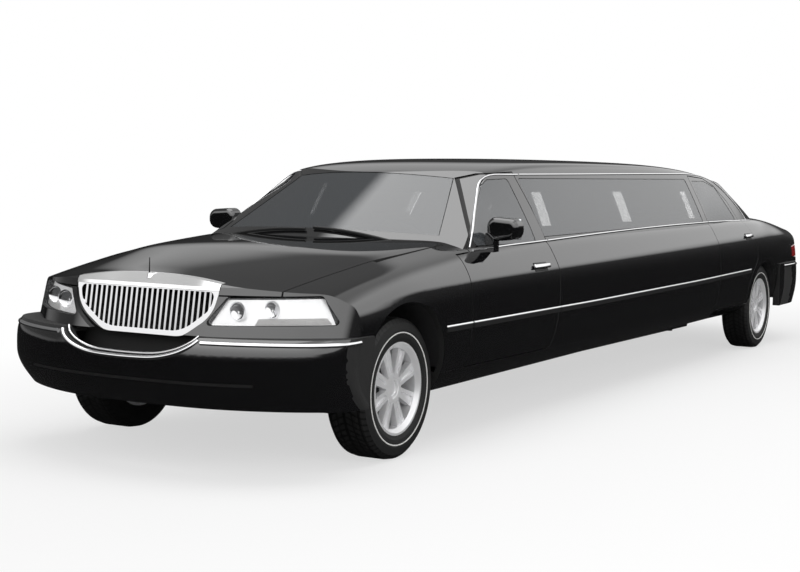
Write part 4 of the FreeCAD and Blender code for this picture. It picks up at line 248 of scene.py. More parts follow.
# %% [markdown]
# ## Materials
# Each finish is a small set of shader nodes. Paint is a nearly black base under a strong clear
# reflection, chrome and alloy are metals with different roughness, tyre rubber is rough with a
# faint mottling, and tinted glass lets a little light through and mirrors the sky.

# %% Make the finishes
def shaded(name, color, roughness, metallic=0.0, grain=0.0, scale=40.0, **sockets):
    # a Principled material; grain roughens its surface and varies its colour a little
    material = bpy.data.materials.new(name)
    wiring = emptied(material)
    shader = wiring.add("BsdfPrincipled", {"Base Color": (*color, 1), "Roughness": roughness,
                                           "Metallic": metallic, **sockets})
    if grain:
        place = wiring.add("TexCoord").outputs["Object"]
        noise = wiring.add("TexNoise", {"Scale": scale, "Detail": 6.0, "Vector": place})
        noise = noise.outputs["Fac"]
        bump = wiring.add("Bump", {"Strength": grain, "Distance": 0.001, "Height": noise})
        ramp = wiring.add("ValToRGB", {0: noise})
        dark, light = ramp.color_ramp.elements
        dark.color = (*[c * 0.8 for c in color], 1)
        light.color = (*[min(1.0, c * 1.25 + 0.004) for c in color], 1)
        wiring.links.new(bump.outputs[0], shader.inputs["Normal"])
        wiring.links.new(ramp.outputs[0], shader.inputs["Base Color"])
    wiring.add("OutputMaterial", {0: shader.outputs[0]})
    return material


PAINT = shaded("gloss black paint", (0.004, 0.004, 0.0045), 0.03, IOR=2.1)
PRIMER = shaded("black primer", (0.012, 0.012, 0.012), 0.7, grain=0.3, scale=120)
CHROME = shaded("chrome", (0.86, 0.86, 0.87), 0.05, metallic=1.0)
ALLOY = shaded("polished alloy", (0.9, 0.9, 0.91), 0.34, metallic=0.45)
RUBBER = shaded("tyre rubber", (0.008, 0.008, 0.0085), 0.6, grain=0.5, scale=90)
GLASS = shaded("tinted glass", (0.05, 0.055, 0.06), 0.02, IOR=2.0, Alpha=0.84)
LAMP_GLASS = shaded("lamp lens", (0.95, 0.96, 0.98), 0.03, IOR=1.5, Alpha=0.08)
# the reflector and the turn lamp block are given a faint glow further down: painted light, as the
# headlamps are not lit
REFLECTOR_PAINTED_GLOW = shaded("lamp reflector with painted glow", (0.93, 0.93, 0.94), 0.22, metallic=0.55, grain=0.9, scale=14)
TURN_BLOCK_PAINTED_GLOW = shaded("turn lamp block", (0.42, 0.41, 0.4), 0.2, grain=0.4, scale=60)
RUBBER_SEAL = shaded("rubber seal", (0.008, 0.008, 0.008), 0.45, grain=0.2, scale=200)
WHITE_RING = shaded("white tyre ring", (0.72, 0.72, 0.7), 0.5, grain=0.2, scale=120)
MIRROR_FACE = shaded("mirror face", (0.8, 0.82, 0.84), 0.02, metallic=1.0)
RED_LENS = shaded("red lens", (0.32, 0.008, 0.01), 0.08, IOR=1.6)
LEATHER = shaded("black leather", (0.022, 0.022, 0.024), 0.42, grain=0.6, scale=260)
TRIM = shaded("dark cabin trim", (0.02, 0.02, 0.021), 0.6, grain=0.4, scale=320)
UNDERBODY = shaded("underbody black", (0.016, 0.016, 0.017), 0.62, grain=0.4, scale=60)
CAST = shaded("cast metal", (0.12, 0.12, 0.12), 0.5, metallic=0.8, grain=0.5, scale=80)
BY_SLOT = {"body_black": PAINT, "tinted_glass": GLASS, "tyre": RUBBER, "polished_wheel": ALLOY,
           "lamp_clear": LAMP_GLASS, "lamp_red": RED_LENS, "chrome": CHROME,
           "seat_leather": LEATHER, "cabin_trim": TRIM, "chassis_black": UNDERBODY,
           "cast_metal": CAST, "floor_black": UNDERBODY}
for part in frame["record"]["subparts"]:
    node = NODES[part["node"]]
    node.data.materials.clear()
    node.data.materials.append(BY_SLOT[part["material_slot"]])
print(len(BY_SLOT), "finishes on", len(NODES), "nodes")

# %% [markdown]
# ## The lines of the body's skins
# The panels were cut from two smooth surfaces, one below the window line and one above it. Their
# lines are tables in thousandths: a place along the wheelbase, behind the front axle, a share of
# the half width and a share of the height.

# %% Repeat the lines
WHEELBASE, FRONT_OVERHANG, REAR_OVERHANG = 6.038, 1.010, 1.471
HALF_WIDTH, HEIGHT = 0.988, 1.517
FRONT_AXLE = (FRONT_OVERHANG + WHEELBASE + REAR_OVERHANG) / 2 - FRONT_OVERHANG
REAR_AXLE = FRONT_AXLE - WHEELBASE
STATIONS = (-1150, -850, -600, -380, -180, 0, 50, 90, 130, 200, 320, 450, 580, 710, 830, 930,
            1000, 1200, 1420, 1640, 1860, 2120)
ROOF_STATIONS = (30, 100, 150, 190, 220, 250, 290, 350, 450, 570, 690, 790, 860, 920, 970, 1060,
                 1200, 1350, 1500)
HULL_LINES = (
    # sill
    ((-1000, 872, 182), (60, 872, 190), (950, 872, 220), (2000, 860, 250)),
    # sill edge
    ((-1000, 920, 215), (60, 920, 220), (950, 920, 245), (2000, 900, 275)),
    # crease
    ((-1000, 945, 262), (950, 958, 264), (2000, 920, 300)),
    # low side
    ((-1000, 960, 320), (0, 984, 320), (1100, 984, 325), (2000, 930, 340)),
    # bulge
    ((-1000, 955, 405), (-300, 990, 405), (100, 1000, 410), (1100, 1000, 425), (2000, 935, 430)),
    # high side
    ((-1000, 940, 470), (-300, 985, 480), (100, 998, 490), (1100, 998, 505), (2000, 925, 500)),
    # under shoulder
    ((-1000, 925, 495), (0, 985, 530), (130, 990, 545), (500, 990, 560), (1100, 985, 585),
     (2000, 905, 545)),
    # shoulder
    ((-1000, 900, 475), (-500, 945, 526), (0, 975, 562), (130, 980, 572), (500, 980, 588),
     (1000, 972, 618), (1500, 945, 612), (2000, 885, 572)),
    # haunch
    ((-1000, 860, 490), (-500, 905, 550), (0, 940, 596), (130, 945, 618), (500, 945, 635),
     (1000, 930, 665), (1500, 890, 648), (2000, 830, 595)),
    # belt
    ((-1000, 810, 500), (-500, 865, 568), (0, 897, 618), (130, 905, 655), (300, 905, 680),
     (500, 905, 688), (900, 895, 704), (1200, 865, 698), (1500, 835, 672), (2000, 780, 610)),
    # inner belt
    ((-1000, 740, 508), (-500, 790, 580), (0, 825, 632), (130, 840, 672), (300, 840, 695),
     (900, 830, 716), (1200, 790, 707), (1500, 765, 680), (2000, 715, 618)),
    # seam
    ((-1000, 660, 525), (-500, 710, 590), (0, 755, 642), (120, 785, 681), (300, 760, 700),
     (900, 740, 722), (1200, 710, 714), (1500, 690, 688), (2000, 650, 626)),
    # hood crease
    ((-1000, 410, 556), (-500, 520, 612), (0, 650, 663), (120, 730, 694), (300, 620, 704),
     (900, 600, 726), (1200, 580, 719), (1500, 560, 694), (2000, 530, 634)),
    # crown side
    ((-1000, 220, 580), (-500, 280, 628), (0, 330, 675), (120, 360, 700), (900, 300, 730),
     (1200, 300, 724), (1500, 300, 700), (2000, 280, 641)),
    # crown
    ((-1000, 0, 586), (-500, 0, 631), (0, 0, 677), (120, 0, 702), (900, 0, 731), (1200, 0, 726),
     (1500, 0, 703), (2000, 0, 643)))
ROOF_LINES = (
    # foot
    ((0, 860, 620), (130, 872, 635), (200, 900, 648), (280, 912, 652), (800, 912, 662),
     (950, 880, 665), (1200, 810, 660), (1500, 720, 640)),
    # glass base
    ((0, 840, 655), (130, 862, 675), (200, 883, 688), (280, 896, 691), (800, 890, 700),
     (950, 855, 703), (1200, 785, 690), (1500, 700, 665)),
    # glass middle
    ((0, 740, 720), (130, 757, 760), (200, 768, 800), (280, 802, 808), (360, 810, 813),
     (800, 804, 822), (950, 776, 800), (1200, 720, 730), (1500, 650, 690)),
    # glass top
    ((0, 655, 765), (130, 660, 830), (200, 668, 882), (235, 682, 910), (280, 697, 926),
     (360, 704, 942), (500, 702, 950), (700, 704, 948), (820, 710, 930), (950, 700, 870),
     (1200, 660, 770), (1500, 600, 710)),
    # rail
    ((0, 635, 775), (130, 642, 845), (200, 652, 900), (235, 664, 933), (280, 679, 951),
     (360, 686, 966), (500, 686, 975), (700, 688, 972), (820, 694, 953), (950, 684, 893),
     (1200, 645, 788), (1500, 580, 720)),
    # roof edge
    ((0, 585, 782), (130, 590, 856), (200, 602, 913), (235, 615, 945), (280, 628, 963),
     (360, 633, 980), (500, 632, 989), (700, 634, 987), (820, 640, 970), (950, 630, 912),
     (1200, 590, 805), (1500, 530, 730)),
    # roof side
    ((0, 400, 790), (130, 400, 870), (200, 400, 932), (235, 405, 959), (280, 410, 976),
     (360, 410, 990), (500, 410, 998), (700, 410, 997), (820, 410, 983), (950, 400, 930),
     (1200, 380, 823), (1500, 340, 740)),
    # roof crown
    ((0, 0, 795), (130, 0, 876), (200, 0, 940), (235, 0, 965), (280, 0, 981), (360, 0, 994),
     (500, 0, 1002), (700, 0, 1001), (820, 0, 988), (950, 0, 937), (1200, 0, 830), (1500, 0, 745)))


print(len(HULL_LINES), "lines below the windows,", len(ROOF_LINES), "above")

# %% [markdown]
# ## The smooth skins
# A cubic spline runs through the nets that these lines make. With it, the exact surface under any
# point of a panel is known, and that is what gives gloss paint reflections with no facets.

# %% Make the skins
SAMPLES, CHUNK, NUDGE, MIDDLE = 4000, 4000, 0.01, (0.0, 1.0, 0.6)


def along(share):
    # the place of a share of the wheelbase; past the axles it is a share of the overhang
    if share < 0:
        return FRONT_AXLE - share * FRONT_OVERHANG
    if share <= 1:
        return FRONT_AXLE - share * WHEELBASE
    return REAR_AXLE - (share - 1) * REAR_OVERHANG


def line_at(line, share):
    # half width and height of a line at one place
    places, widths, heights = np.array(line).T / 1000
    return (np.interp(share, places, widths) * HALF_WIDTH,
            np.interp(share, places, heights) * HEIGHT)


def basis(values, count):
    # cubic B-spline weights of each value over evenly spaced knots, clamped at both ends
    inner = count - 3
    knots = np.concatenate([[0.0] * 3, np.arange(inner + 1.0), [inner] * 3])
    t = np.clip(np.asarray(values, float), 0.0, inner - 1e-9)[:, None]
    weight = ((t >= knots[None, :-1]) & (t < knots[None, 1:])).astype(float)
    for degree in (1, 2, 3):
        left = knots[None, degree:-1] - knots[None, :-1 - degree]
        right = knots[None, degree + 1:] - knots[None, 1:-degree]
        a = np.where(left > 0, (t - knots[None, :-1 - degree]) / np.where(left > 0, left, 1), 0)
        b = np.where(right > 0, (knots[None, degree + 1:] - t) / np.where(right > 0, right, 1), 0)
        weight = a * weight[:, :-1] + b * weight[:, 1:]
    return weight


def around(values, end):
    # a small step below and above each value
    return np.clip(values - NUDGE, 0, end), np.clip(values + NUDGE, 0, end)


class Skin:
    """One smooth skin: finds the nearest skin point and normal for any points."""

    def __init__(self, lines, stations):
        stations = np.array(stations) / 1000
        half = np.array([[line_at(line, s) for line in lines] for s in stations])
        self.net = np.concatenate([half * (-1, 1), half[:, ::-1][:, 1:]], axis=1)
        self.x = np.array([along(s) for s in stations])
        self.spans, self.bands = len(stations) - 3, self.net.shape[1] - 3
        self.places = np.linspace(0, self.spans, SAMPLES)
        self.place_x = basis(self.places, len(stations)) @ self.x
        self.coarse = np.linspace(0, self.bands, self.bands * 8)
        self.across = basis(self.coarse, self.net.shape[1])

    def poles(self, u):
        return np.einsum("ks,snc->knc", basis(u, len(self.x)), self.net)

    def spot(self, poles, v):
        return np.einsum("kn,knc->kc", basis(v, self.net.shape[1]), poles)

    def nearest(self, points):
        # nearest points at the same place along the car, outward normals and distances
        p = np.asarray(points, float)
        u = np.interp(-p[:, 0], -self.place_x, self.places)
        poles = self.poles(u)
        v = np.empty(len(p))
        for start in range(0, len(p), CHUNK):
            part = slice(start, start + CHUNK)
            curve = np.einsum("an,knc->kac", self.across, poles[part])
            v[part] = self.coarse[((curve - p[part, None, 1:]) ** 2).sum(2).argmin(1)]
        for _ in range(4):
            low, high = around(v, self.bands)
            way = (self.spot(poles, high) - self.spot(poles, low)) / (high - low)[:, None]
            miss = p[:, 1:] - self.spot(poles, v)
            v = np.clip(v + (miss * way).sum(1) / (way * way).sum(1), 0, self.bands)
        foot = self.spot(poles, v)
        low, high = around(v, self.bands)
        turn = self.spot(poles, high) - self.spot(poles, low)
        before, after = around(u, self.spans)
        slide = self.spot(self.poles(after), v) - self.spot(self.poles(before), v)
        place = self.places, self.place_x
        step = np.interp(after, *place) - np.interp(before, *place)
        normal = np.cross(np.column_stack([np.zeros(len(p)), turn]),
                          np.column_stack([step, slide]))
        normal /= np.linalg.norm(normal, axis=1)[:, None]
        found = np.column_stack([p[:, 0], foot])
        return found, normal, np.linalg.norm(p - found, axis=1)


HULL = Skin(HULL_LINES, STATIONS)
CANOPY = Skin(ROOF_LINES, ROOF_STATIONS)
spot, normal, _ = HULL.nearest([MIDDLE])
print("side of the body at the middle:", np.round(spot[0], 3), "normal", np.round(normal[0], 3))

# %% [markdown]
# ## Screens, nose, tail and bumpers
# The windshield and the rear window are bowed sheets. The nose, the tail and the bumpers are
# upright walls: an outline seen from above that steps back with the height.

# %% Make the other surfaces
PANE_HALF, FOOT_DROP, TOP_DROP = 0.745, 0.030, 0.040
PLAN_POINTS, WALL_MARGIN, LEVELS = 1600, 0.010, 200


class Sheet:
    """The bowed surface of the windshield or the rear window."""

    def __init__(self, base_x, base_z, run, rise, direction, bow):
        self.sizes = base_x, base_z, run, rise, direction, bow

    def nearest(self, points):
        base_x, base_z, run, rise, way, bow = self.sizes
        y = points[:, 1]
        side, change = (y / PANE_HALF) ** 2, 2 * y / PANE_HALF ** 2
        x = points[:, 0] - base_x - way * bow * side
        z = points[:, 2] - base_z + side * FOOT_DROP
        drop = rise - side * TOP_DROP
        t = (way * x * run + z * drop) / (run * run + drop * drop)
        fall = FOOT_DROP + TOP_DROP * t
        spot = np.column_stack([base_x + way * (run * t + bow * side), y,
                                base_z + rise * t - side * fall])
        du = np.column_stack([np.full(len(t), way * run), np.zeros(len(t)), drop])
        dy = np.column_stack([way * bow * change, np.ones(len(t)), -change * fall])
        n = np.cross(du, dy)
        n /= np.linalg.norm(n, axis=1)[:, None]
        n *= np.sign(n[:, 2:3])
        return spot, n, np.linalg.norm(points - spot, axis=1)


WINDSHIELD = Sheet(FRONT_AXLE - 0.545, 1.068, 0.635, 0.351, -1, 0.205)
BACKLIGHT = Sheet(REAR_AXLE - 0.330, 1.100, 0.600, 0.340, 1, 0.180)


def spline_path(points, count):
    # a smooth curve through points, evenly sampled by length of its chords
    points = np.asarray(points, float)
    t = np.concatenate([[0], np.cumsum(np.linalg.norm(np.diff(points, axis=0), axis=1))])
    h, n = np.diff(t), len(points)
    grid = np.zeros((n, n))
    right = np.zeros((n, points.shape[1]))
    grid[0, 0] = grid[-1, -1] = 1
    for i in range(1, n - 1):
        grid[i, i - 1:i + 2] = h[i - 1], 2 * (h[i - 1] + h[i]), h[i]
        after, before = (points[i + 1] - points[i]) / h[i], (points[i] - points[i - 1]) / h[i - 1]
        right[i] = 6 * (after - before)
    bend = np.linalg.solve(grid, right)
    at = np.linspace(0, t[-1], count)
    i = np.clip(np.searchsorted(t, at, side="right") - 1, 0, n - 2)
    a, b, w = (t[i + 1] - at)[:, None], (at - t[i])[:, None], h[i][:, None]
    return ((bend[i] * a ** 3 + bend[i + 1] * b ** 3) / (6 * w)
            + (points[i] / w - bend[i] * w / 6) * a + (points[i + 1] / w - bend[i + 1] * w / 6) * b)


class Wall:
    """The upright outer surface of the nose, the tail or a bumper, from its outline seen from
    above and its setback at each height."""

    def __init__(self, shares, axle, overhang, way, levels):
        left = [(axle + way * f * overhang, w * (HALF_WIDTH + WALL_MARGIN)) for f, w in shares]
        right = [(x, -y) for x, y in reversed(left[1:])]
        self.way = way
        self.plan = spline_path(right + left, PLAN_POINTS)
        run = np.gradient(self.plan, axis=0)
        self.face = np.column_stack([run[:, 1], -run[:, 0]]) * way
        self.face /= np.linalg.norm(self.face, axis=1)[:, None]
        self.z, self.setback = np.array(levels).T
        self.slope = np.gradient(self.setback, self.z)

    def at(self, x, y, z):
        # places on the wall from its plan's x, a distance from the middle and a height
        back = self.way * np.interp(z, self.z, self.setback)
        return self.nearest(np.column_stack([x - back, y, z]))[:2]

    def nearest(self, points):
        p = np.asarray(points, float)
        back = np.interp(p[:, 2], self.z, self.setback)
        slope = np.interp(p[:, 2], self.z, self.slope)
        flat = np.column_stack([p[:, 0] + self.way * back, p[:, 1]])
        index = np.empty(len(p), int)
        for start in range(0, len(p), CHUNK):
            part = slice(start, start + CHUNK)
            index[part] = ((flat[part, None] - self.plan[None]) ** 2).sum(2).argmin(1)
        side = self.face[index]
        off = ((flat - self.plan[index]) * side).sum(1)
        normal = np.column_stack([side, side[:, 0] * self.way * slope])
        size = np.linalg.norm(normal, axis=1)
        normal /= size[:, None]
        gap = off / size
        return p - normal * gap[:, None], normal, np.abs(gap)


def smooth_levels(levels):
    # heights and setbacks of a stacked bumper face, as its cubic surface gives them
    table = np.array(levels)
    return basis(np.linspace(0, len(table) - 3, LEVELS), len(table)) @ table


NOSE_SHARES = ((0.866, 0.0), (0.868, 0.2), (0.866, 0.385), (0.84, 0.48), (0.75, 0.66),
               (0.673, 0.77), (0.602, 0.85), (0.535, 0.918), (0.446, 0.967), (0.356, 1.0))
TAIL_SHARES = ((0.955, 0.0), (0.95, 0.25), (0.93, 0.45), (0.89, 0.64), (0.83, 0.8),
               (0.74, 0.92), (0.62, 1.0))
BUMPER_SHARES = ((1.0, 0.0), (0.994, 0.22), (0.96, 0.45), (0.885, 0.66), (0.79, 0.83),
                 (0.69, 0.94), (0.6, 0.982), (0.5, 0.985))
REAR_BUMPER_SHARES = ((1.0, 0.0), (0.995, 0.3), (0.97, 0.52), (0.92, 0.7), (0.84, 0.85),
                      (0.72, 0.95), (0.55, 0.985), (0.36, 0.99))
BUMPER_PROFILE_SHARES = ((0.0, 1.0), (0.1, 0.72), (0.25, 0.3), (0.45, 0.0), (0.6, 0.0),
                         (0.75, 0.0), (0.92, 0.08), (1.0, 0.34))
BUMPER_SETBACK = 0.120


def leaning(rake, level, start=0.0):
    # a straight wall's setbacks, growing with the height above a level
    return [(z, start + rake * (z - level)) for z in (0.2, 0.6, 1.0, 1.2)]


def bumper_levels(low, high):
    # a rounded wall's setbacks between its lower and its upper edge
    return smooth_levels([(low + f * (high - low), s * BUMPER_SETBACK)
                          for f, s in BUMPER_PROFILE_SHARES])


NOSE = Wall(NOSE_SHARES, FRONT_AXLE, FRONT_OVERHANG, 1, leaning(0.3, 0.7))
BROW = Wall(NOSE_SHARES, FRONT_AXLE, FRONT_OVERHANG, 1, leaning(0.8, 0.87, 0.3 * 0.17))
TAIL = Wall(TAIL_SHARES, REAR_AXLE, REAR_OVERHANG, -1, leaning(0.12, 0.7))
FRONT_BUMPER = Wall(BUMPER_SHARES, FRONT_AXLE, FRONT_OVERHANG, 1, bumper_levels(0.312, 0.648))
REAR_BUMPER = Wall(REAR_BUMPER_SHARES, REAR_AXLE, REAR_OVERHANG, -1, bumper_levels(0.330, 0.690))


print("the nose is widest at", np.round(NOSE.plan[:, 1].max(), 3))

# %% [markdown]
# ## Fine meshes
# A panel's copy keeps the CAD outline, so every seam stays where it is. Its outer faces are
# split until no edge is long, and the new points wait to be laid on a smooth surface.

# %% Split and shade meshes
LONGEST, CATCH, PULL, LEAN, ROUNDS = 0.06, 8e-4, 3e-3, 0.5, 9


def merged_triangles(mesh):
    # the mesh as numpy points and triangles, with points at one place made one
    points = np.empty(len(mesh.vertices) * 3)
    mesh.vertices.foreach_get("co", points)
    points = points.reshape(-1, 3)
    corners = np.empty(len(mesh.loops), int)
    mesh.loops.foreach_get("vertex_index", corners)
    _, first, back = np.unique(np.round(points, 5), axis=0, return_index=True,
                               return_inverse=True)
    faces = back.reshape(-1)[corners].reshape(-1, 3)
    whole = (faces != np.roll(faces, 1, 1)).all(1)
    return points[first], faces[whole]


def split_long(points, faces, marks, longest):
    # halve long edges of the marked triangles until none is left
    for _ in range(ROUNDS):
        pairs = np.sort(faces[:, [0, 1, 1, 2, 2, 0]].reshape(-1, 2), axis=1)
        edges, back = np.unique(pairs, axis=0, return_inverse=True)
        back = back.reshape(-1, 3)
        size = np.linalg.norm(points[edges[:, 0]] - points[edges[:, 1]], axis=1)
        wanted = np.zeros(len(edges), bool)
        wanted[back[marks > 0].ravel()] = True
        wanted &= size > longest
        if not wanted.any():
            break
        middle = np.full(len(edges), -1)
        middle[wanted] = len(points) + np.arange(wanted.sum())
        points = np.vstack([points, points[edges[wanted]].mean(1)])
        cut = middle[back]
        count = (cut >= 0).sum(1)
        new_faces, new_marks = [faces[count == 0]], [marks[count == 0]]
        for number in (1, 2, 3):
            rows = np.flatnonzero(count == number)
            halved = cut[rows] >= 0
            turn = (halved.argmin(1) + 1) % 3 if number == 2 else halved.argmax(1)
            order = (turn[:, None] + np.arange(3)) % 3
            a, b, c = np.take_along_axis(faces[rows], order, 1).T
            m, n, o = np.take_along_axis(cut[rows], order, 1).T
            sets = {1: [(a, m, c), (m, b, c)], 2: [(m, b, n), (a, m, n), (a, n, c)],
                    3: [(a, m, o), (m, b, n), (o, n, c), (m, n, o)]}[number]
            for three in sets:
                new_faces.append(np.column_stack(three))
                new_marks.append(marks[rows])
        faces, marks = np.concatenate(new_faces), np.concatenate(new_marks)
    return points, faces, marks


def flat_normals(points, faces):
    # one normal for each triangle
    a, b, c = points[faces].transpose(1, 0, 2)
    n = np.cross(b - a, c - a)
    return n / np.maximum(np.linalg.norm(n, axis=1), 1e-20)[:, None]


def on_surface(points, surface, depth):
    # nearest points a depth below one surface, its normals and the distances
    spot, normal, _ = surface.nearest(points)
    spot = spot - normal * depth
    return spot, normal, np.linalg.norm(points - spot, axis=1)


def new_piece(name, points, faces, materials=(), smooth=True):
    # an object in the scene from points, faces and finishes
    mesh = bpy.data.meshes.new(name)
    mesh.from_pydata(np.asarray(points).reshape(-1, 3).tolist(), [], faces)
    for material in materials:
        mesh.materials.append(material)
    mesh.polygons.foreach_set("use_smooth", np.full(len(faces), smooth))
    piece = bpy.data.objects.new(name, mesh)
    bpy.context.scene.collection.objects.link(piece)
    return piece


print("no panel edge will be longer than", LONGEST, "m")

# %% [markdown]
# ## Painted panels
# Each triangle of a panel picks the surface that it lies on, its points are laid on that surface,
# and each corner takes the surface's own normal. Doing this by hand would mean sculpting fifteen
# panels to a fraction of a millimetre, so here one function does it for all of them.

# %% Lay the panels on the skin
def smooth_copy(node_name, surfaces, materials):
    # a copy of a CAD node whose skin faces are fine, exact and smoothly shaded
    source = NODES[node_name]
    points, faces = merged_triangles(source.data)
    flat = flat_normals(points, faces)
    marks, best = np.zeros(len(faces), int), np.full(len(faces), CATCH)
    for number, (surface, depth) in enumerate(surfaces, 1):
        _, normal, gap = on_surface(points, surface, depth)
        worst = gap[faces].max(1)
        lean = np.abs((normal[faces].mean(1) * flat).sum(1))
        better = (worst < best) & (lean > LEAN)
        best[better], marks[better] = worst[better], number
    points, faces, marks = split_long(points, faces, marks, LONGEST)
    shading = {}
    for _ in range(min(2, len(surfaces))):
        for number, (surface, depth) in enumerate(surfaces, 1):
            used = np.unique(faces[marks == number])
            spot, normal, gap = on_surface(points[used], surface, depth)
            near = gap < PULL
            points[used[near]] = spot[near]
            shading[number] = used, normal
    flat = flat_normals(points, faces)
    corners = np.repeat(flat[:, None], 3, axis=1)
    outer = np.zeros(len(faces), bool)
    smooth = np.zeros((len(points), 3))
    for number, (used, normal) in shading.items():
        smooth[used] = normal
        rows = np.flatnonzero(marks == number)
        facing = np.sign((smooth[faces[rows]].mean(1) * flat[rows]).sum(1))
        corners[rows] = smooth[faces[rows]] * facing[:, None, None]
        outer[rows] = facing > 0
    piece = new_piece(node_name + "_panel", points, faces.tolist(), materials)
    if len(materials) > 1:
        inner = np.where(outer, 0, 1).astype(np.int32)
        piece.data.polygons.foreach_set("material_index", inner)
    piece.data.normals_split_custom_set(corners.reshape(-1, 3).tolist())
    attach(piece, source["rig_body"])
    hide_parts(node_name)
    return piece


FRONT_SURFACES = [(HULL, 0), (NOSE, 0), (BROW, 0)]
PAINTED = {"front_fenders": FRONT_SURFACES, "hood": FRONT_SURFACES,
           "cowl": [(HULL, 0)], "sills": [(HULL, 0)], "side_panels": [(HULL, 0)],
           "quarter_panels": [(HULL, 0), (TAIL, 0)], "trunk_lid": [(HULL, 0), (TAIL, 0)],
           "rear_deck": [(HULL, 0)], "roof": [(CANOPY, 0), (WINDSHIELD, 0), (BACKLIGHT, 0)],
           "front_bumper": [(FRONT_BUMPER, 0)], "rear_bumper": [(REAR_BUMPER, 0)]}
for side in ("left", "right"):
    PAINTED["front_door_" + side] = [(HULL, 0), (CANOPY, 0), (WINDSHIELD, 0)]
    PAINTED["rear_door_" + side] = [(HULL, 0), (CANOPY, 0)]
for name, surfaces in PAINTED.items():
    panel = smooth_copy(name, surfaces, (PAINT, PRIMER))
    print(name, len(panel.data.polygons), "faces")

# %% [markdown]
# ## Glass
# The panes lie two millimetres under the body's skin. They are laid on the same surfaces, inside
# and out, so that the sky runs over them without a ripple.

# %% Lay the glass on the skin
PANE_DEPTHS = (0.002, 0.007)
PANES = {"windshield": WINDSHIELD, "rear_window": BACKLIGHT, "side_windows": CANOPY}
for side in ("left", "right"):
    PANES["front_glass_" + side] = PANES["rear_glass_" + side] = CANOPY
for name, surface in PANES.items():
    pane = smooth_copy(name, [(surface, depth) for depth in PANE_DEPTHS], (GLASS,))
print("panes:", len(PANES))

# %% [markdown]
# ## Bright trim
# On the real car, thin bright strips run round the side windows, along the belt, along the lower
# flank and over both bumpers. Each is a pressed or drawn strip, so each is made the way it is
# made: one section, drawn along a path. The path lies on the body's own skin and the section
# stands on it, turned to the skin's normal, which a curve's bevel can't promise.

# %% Draw a section along a path
SIDES = ((1, "left"), (-1, "right"))
TURN_WEIGHT, STRIP_ANGLE, FLANK_STEP = 0.02, math.radians(50), 0.12
FLANK_Y, LEAST_SLOPE, PASSES = 0.95, 0.25, 14


def carried(piece, body):
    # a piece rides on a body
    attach(piece, body)
    return piece


def turn_outward():
    # all faces of the active piece look outward
    bpy.ops.object.mode_set(mode="EDIT")
    bpy.ops.mesh.select_all(action="SELECT")
    bpy.ops.mesh.normals_make_consistent(inside=False)
    bpy.ops.object.mode_set(mode="OBJECT")


def drawn_strip(name, path, outward, section, body="root", material=CHROME,
                step=0.05):
    # section points are (across, out) from the path; across is to the right of its direction
    path, outward = np.asarray(path, float), np.asarray(outward, float)
    length = np.linalg.norm(np.diff(path, axis=0), axis=1).sum()
    count = max(6, int(length / step))
    both = spline_path(np.column_stack([path, outward * TURN_WEIGHT]), count)
    path, outward = both[:, :3], both[:, 3:]
    ahead = np.gradient(path, axis=0)
    ahead /= np.linalg.norm(ahead, axis=1)[:, None]
    outward = outward - ahead * (outward * ahead).sum(1)[:, None]
    outward /= np.linalg.norm(outward, axis=1)[:, None]
    across = np.cross(ahead, outward)
    section = np.asarray(section, float)
    rings = (path[:, None] + across[:, None] * section[None, :, :1]
             + outward[:, None] * section[None, :, 1:])
    size = len(section)
    faces = [(i * size + j, i * size + (j + 1) % size,
              (i + 1) * size + (j + 1) % size, (i + 1) * size + j)
             for i in range(count - 1) for j in range(size)]
    last = (count - 1) * size
    faces += [tuple(range(size))[::-1], tuple(range(last, last + size))]
    strip = new_piece(name, rings, faces, (material,), smooth=False)
    bpy.ops.object.select_all(action="DESELECT")
    strip.select_set(True)
    bpy.context.view_layer.objects.active = strip
    turn_outward()
    bpy.ops.object.shade_smooth_by_angle(angle=STRIP_ANGLE)
    return carried(strip, body)


def half_round(width, height, sink=0.001, points=7):
    # a rounded strip's section, a little sunk into what it lies on
    turns = [math.pi * i / (points - 1) for i in range(points)]
    arc = [(math.cos(t) * width / 2, math.sin(t) * height) for t in turns]
    return [(width / 2, -sink)] + arc + [(-width / 2, -sink)]


def on_flank(points, skins=(HULL, CANOPY), side=1):
    # places given as (along, height) on the outermost of the skins, with smooth normals
    xz = np.asarray(points, float)
    best = None
    for skin in skins:
        p = np.column_stack([xz[:, 0], np.full(len(xz), FLANK_Y), xz[:, 1]])
        for _ in range(PASSES):
            foot, normal, _ = skin.nearest(p)
            down = (p[:, 2] - foot[:, 2]) * normal[:, 2]
            p[:, 1] = foot[:, 1] - down / np.maximum(normal[:, 1], LEAST_SLOPE)
        if best is None:
            best = p, normal
        else:
            more = p[:, 1] > best[0][:, 1]
            best[0][more], best[1][more] = p[more], normal[more]
    spots, normals = best
    for _ in range(2):
        normals[1:-1] = normals[:-2] + 2 * normals[1:-1] + normals[2:]
        normals /= np.linalg.norm(normals, axis=1)[:, None]
    flip = np.array([1, side, 1])
    return spots * flip, normals * flip


def flank_strip(name, points, section, body="root", skins=(HULL, CANOPY)):
    # the same strip on the left and on the right side
    dense = spline_path(points, max(8, int(abs(points[0][0] - points[-1][0]) / FLANK_STEP)))
    for side, word in SIDES:
        place, normal = on_flank(dense, skins, side)
        owner = body if body == "root" else body + "_" + word
        drawn_strip(name + "_" + word, place, normal, section, owner)


print("a half round section has", len(half_round(0.012, 0.004)), "points")
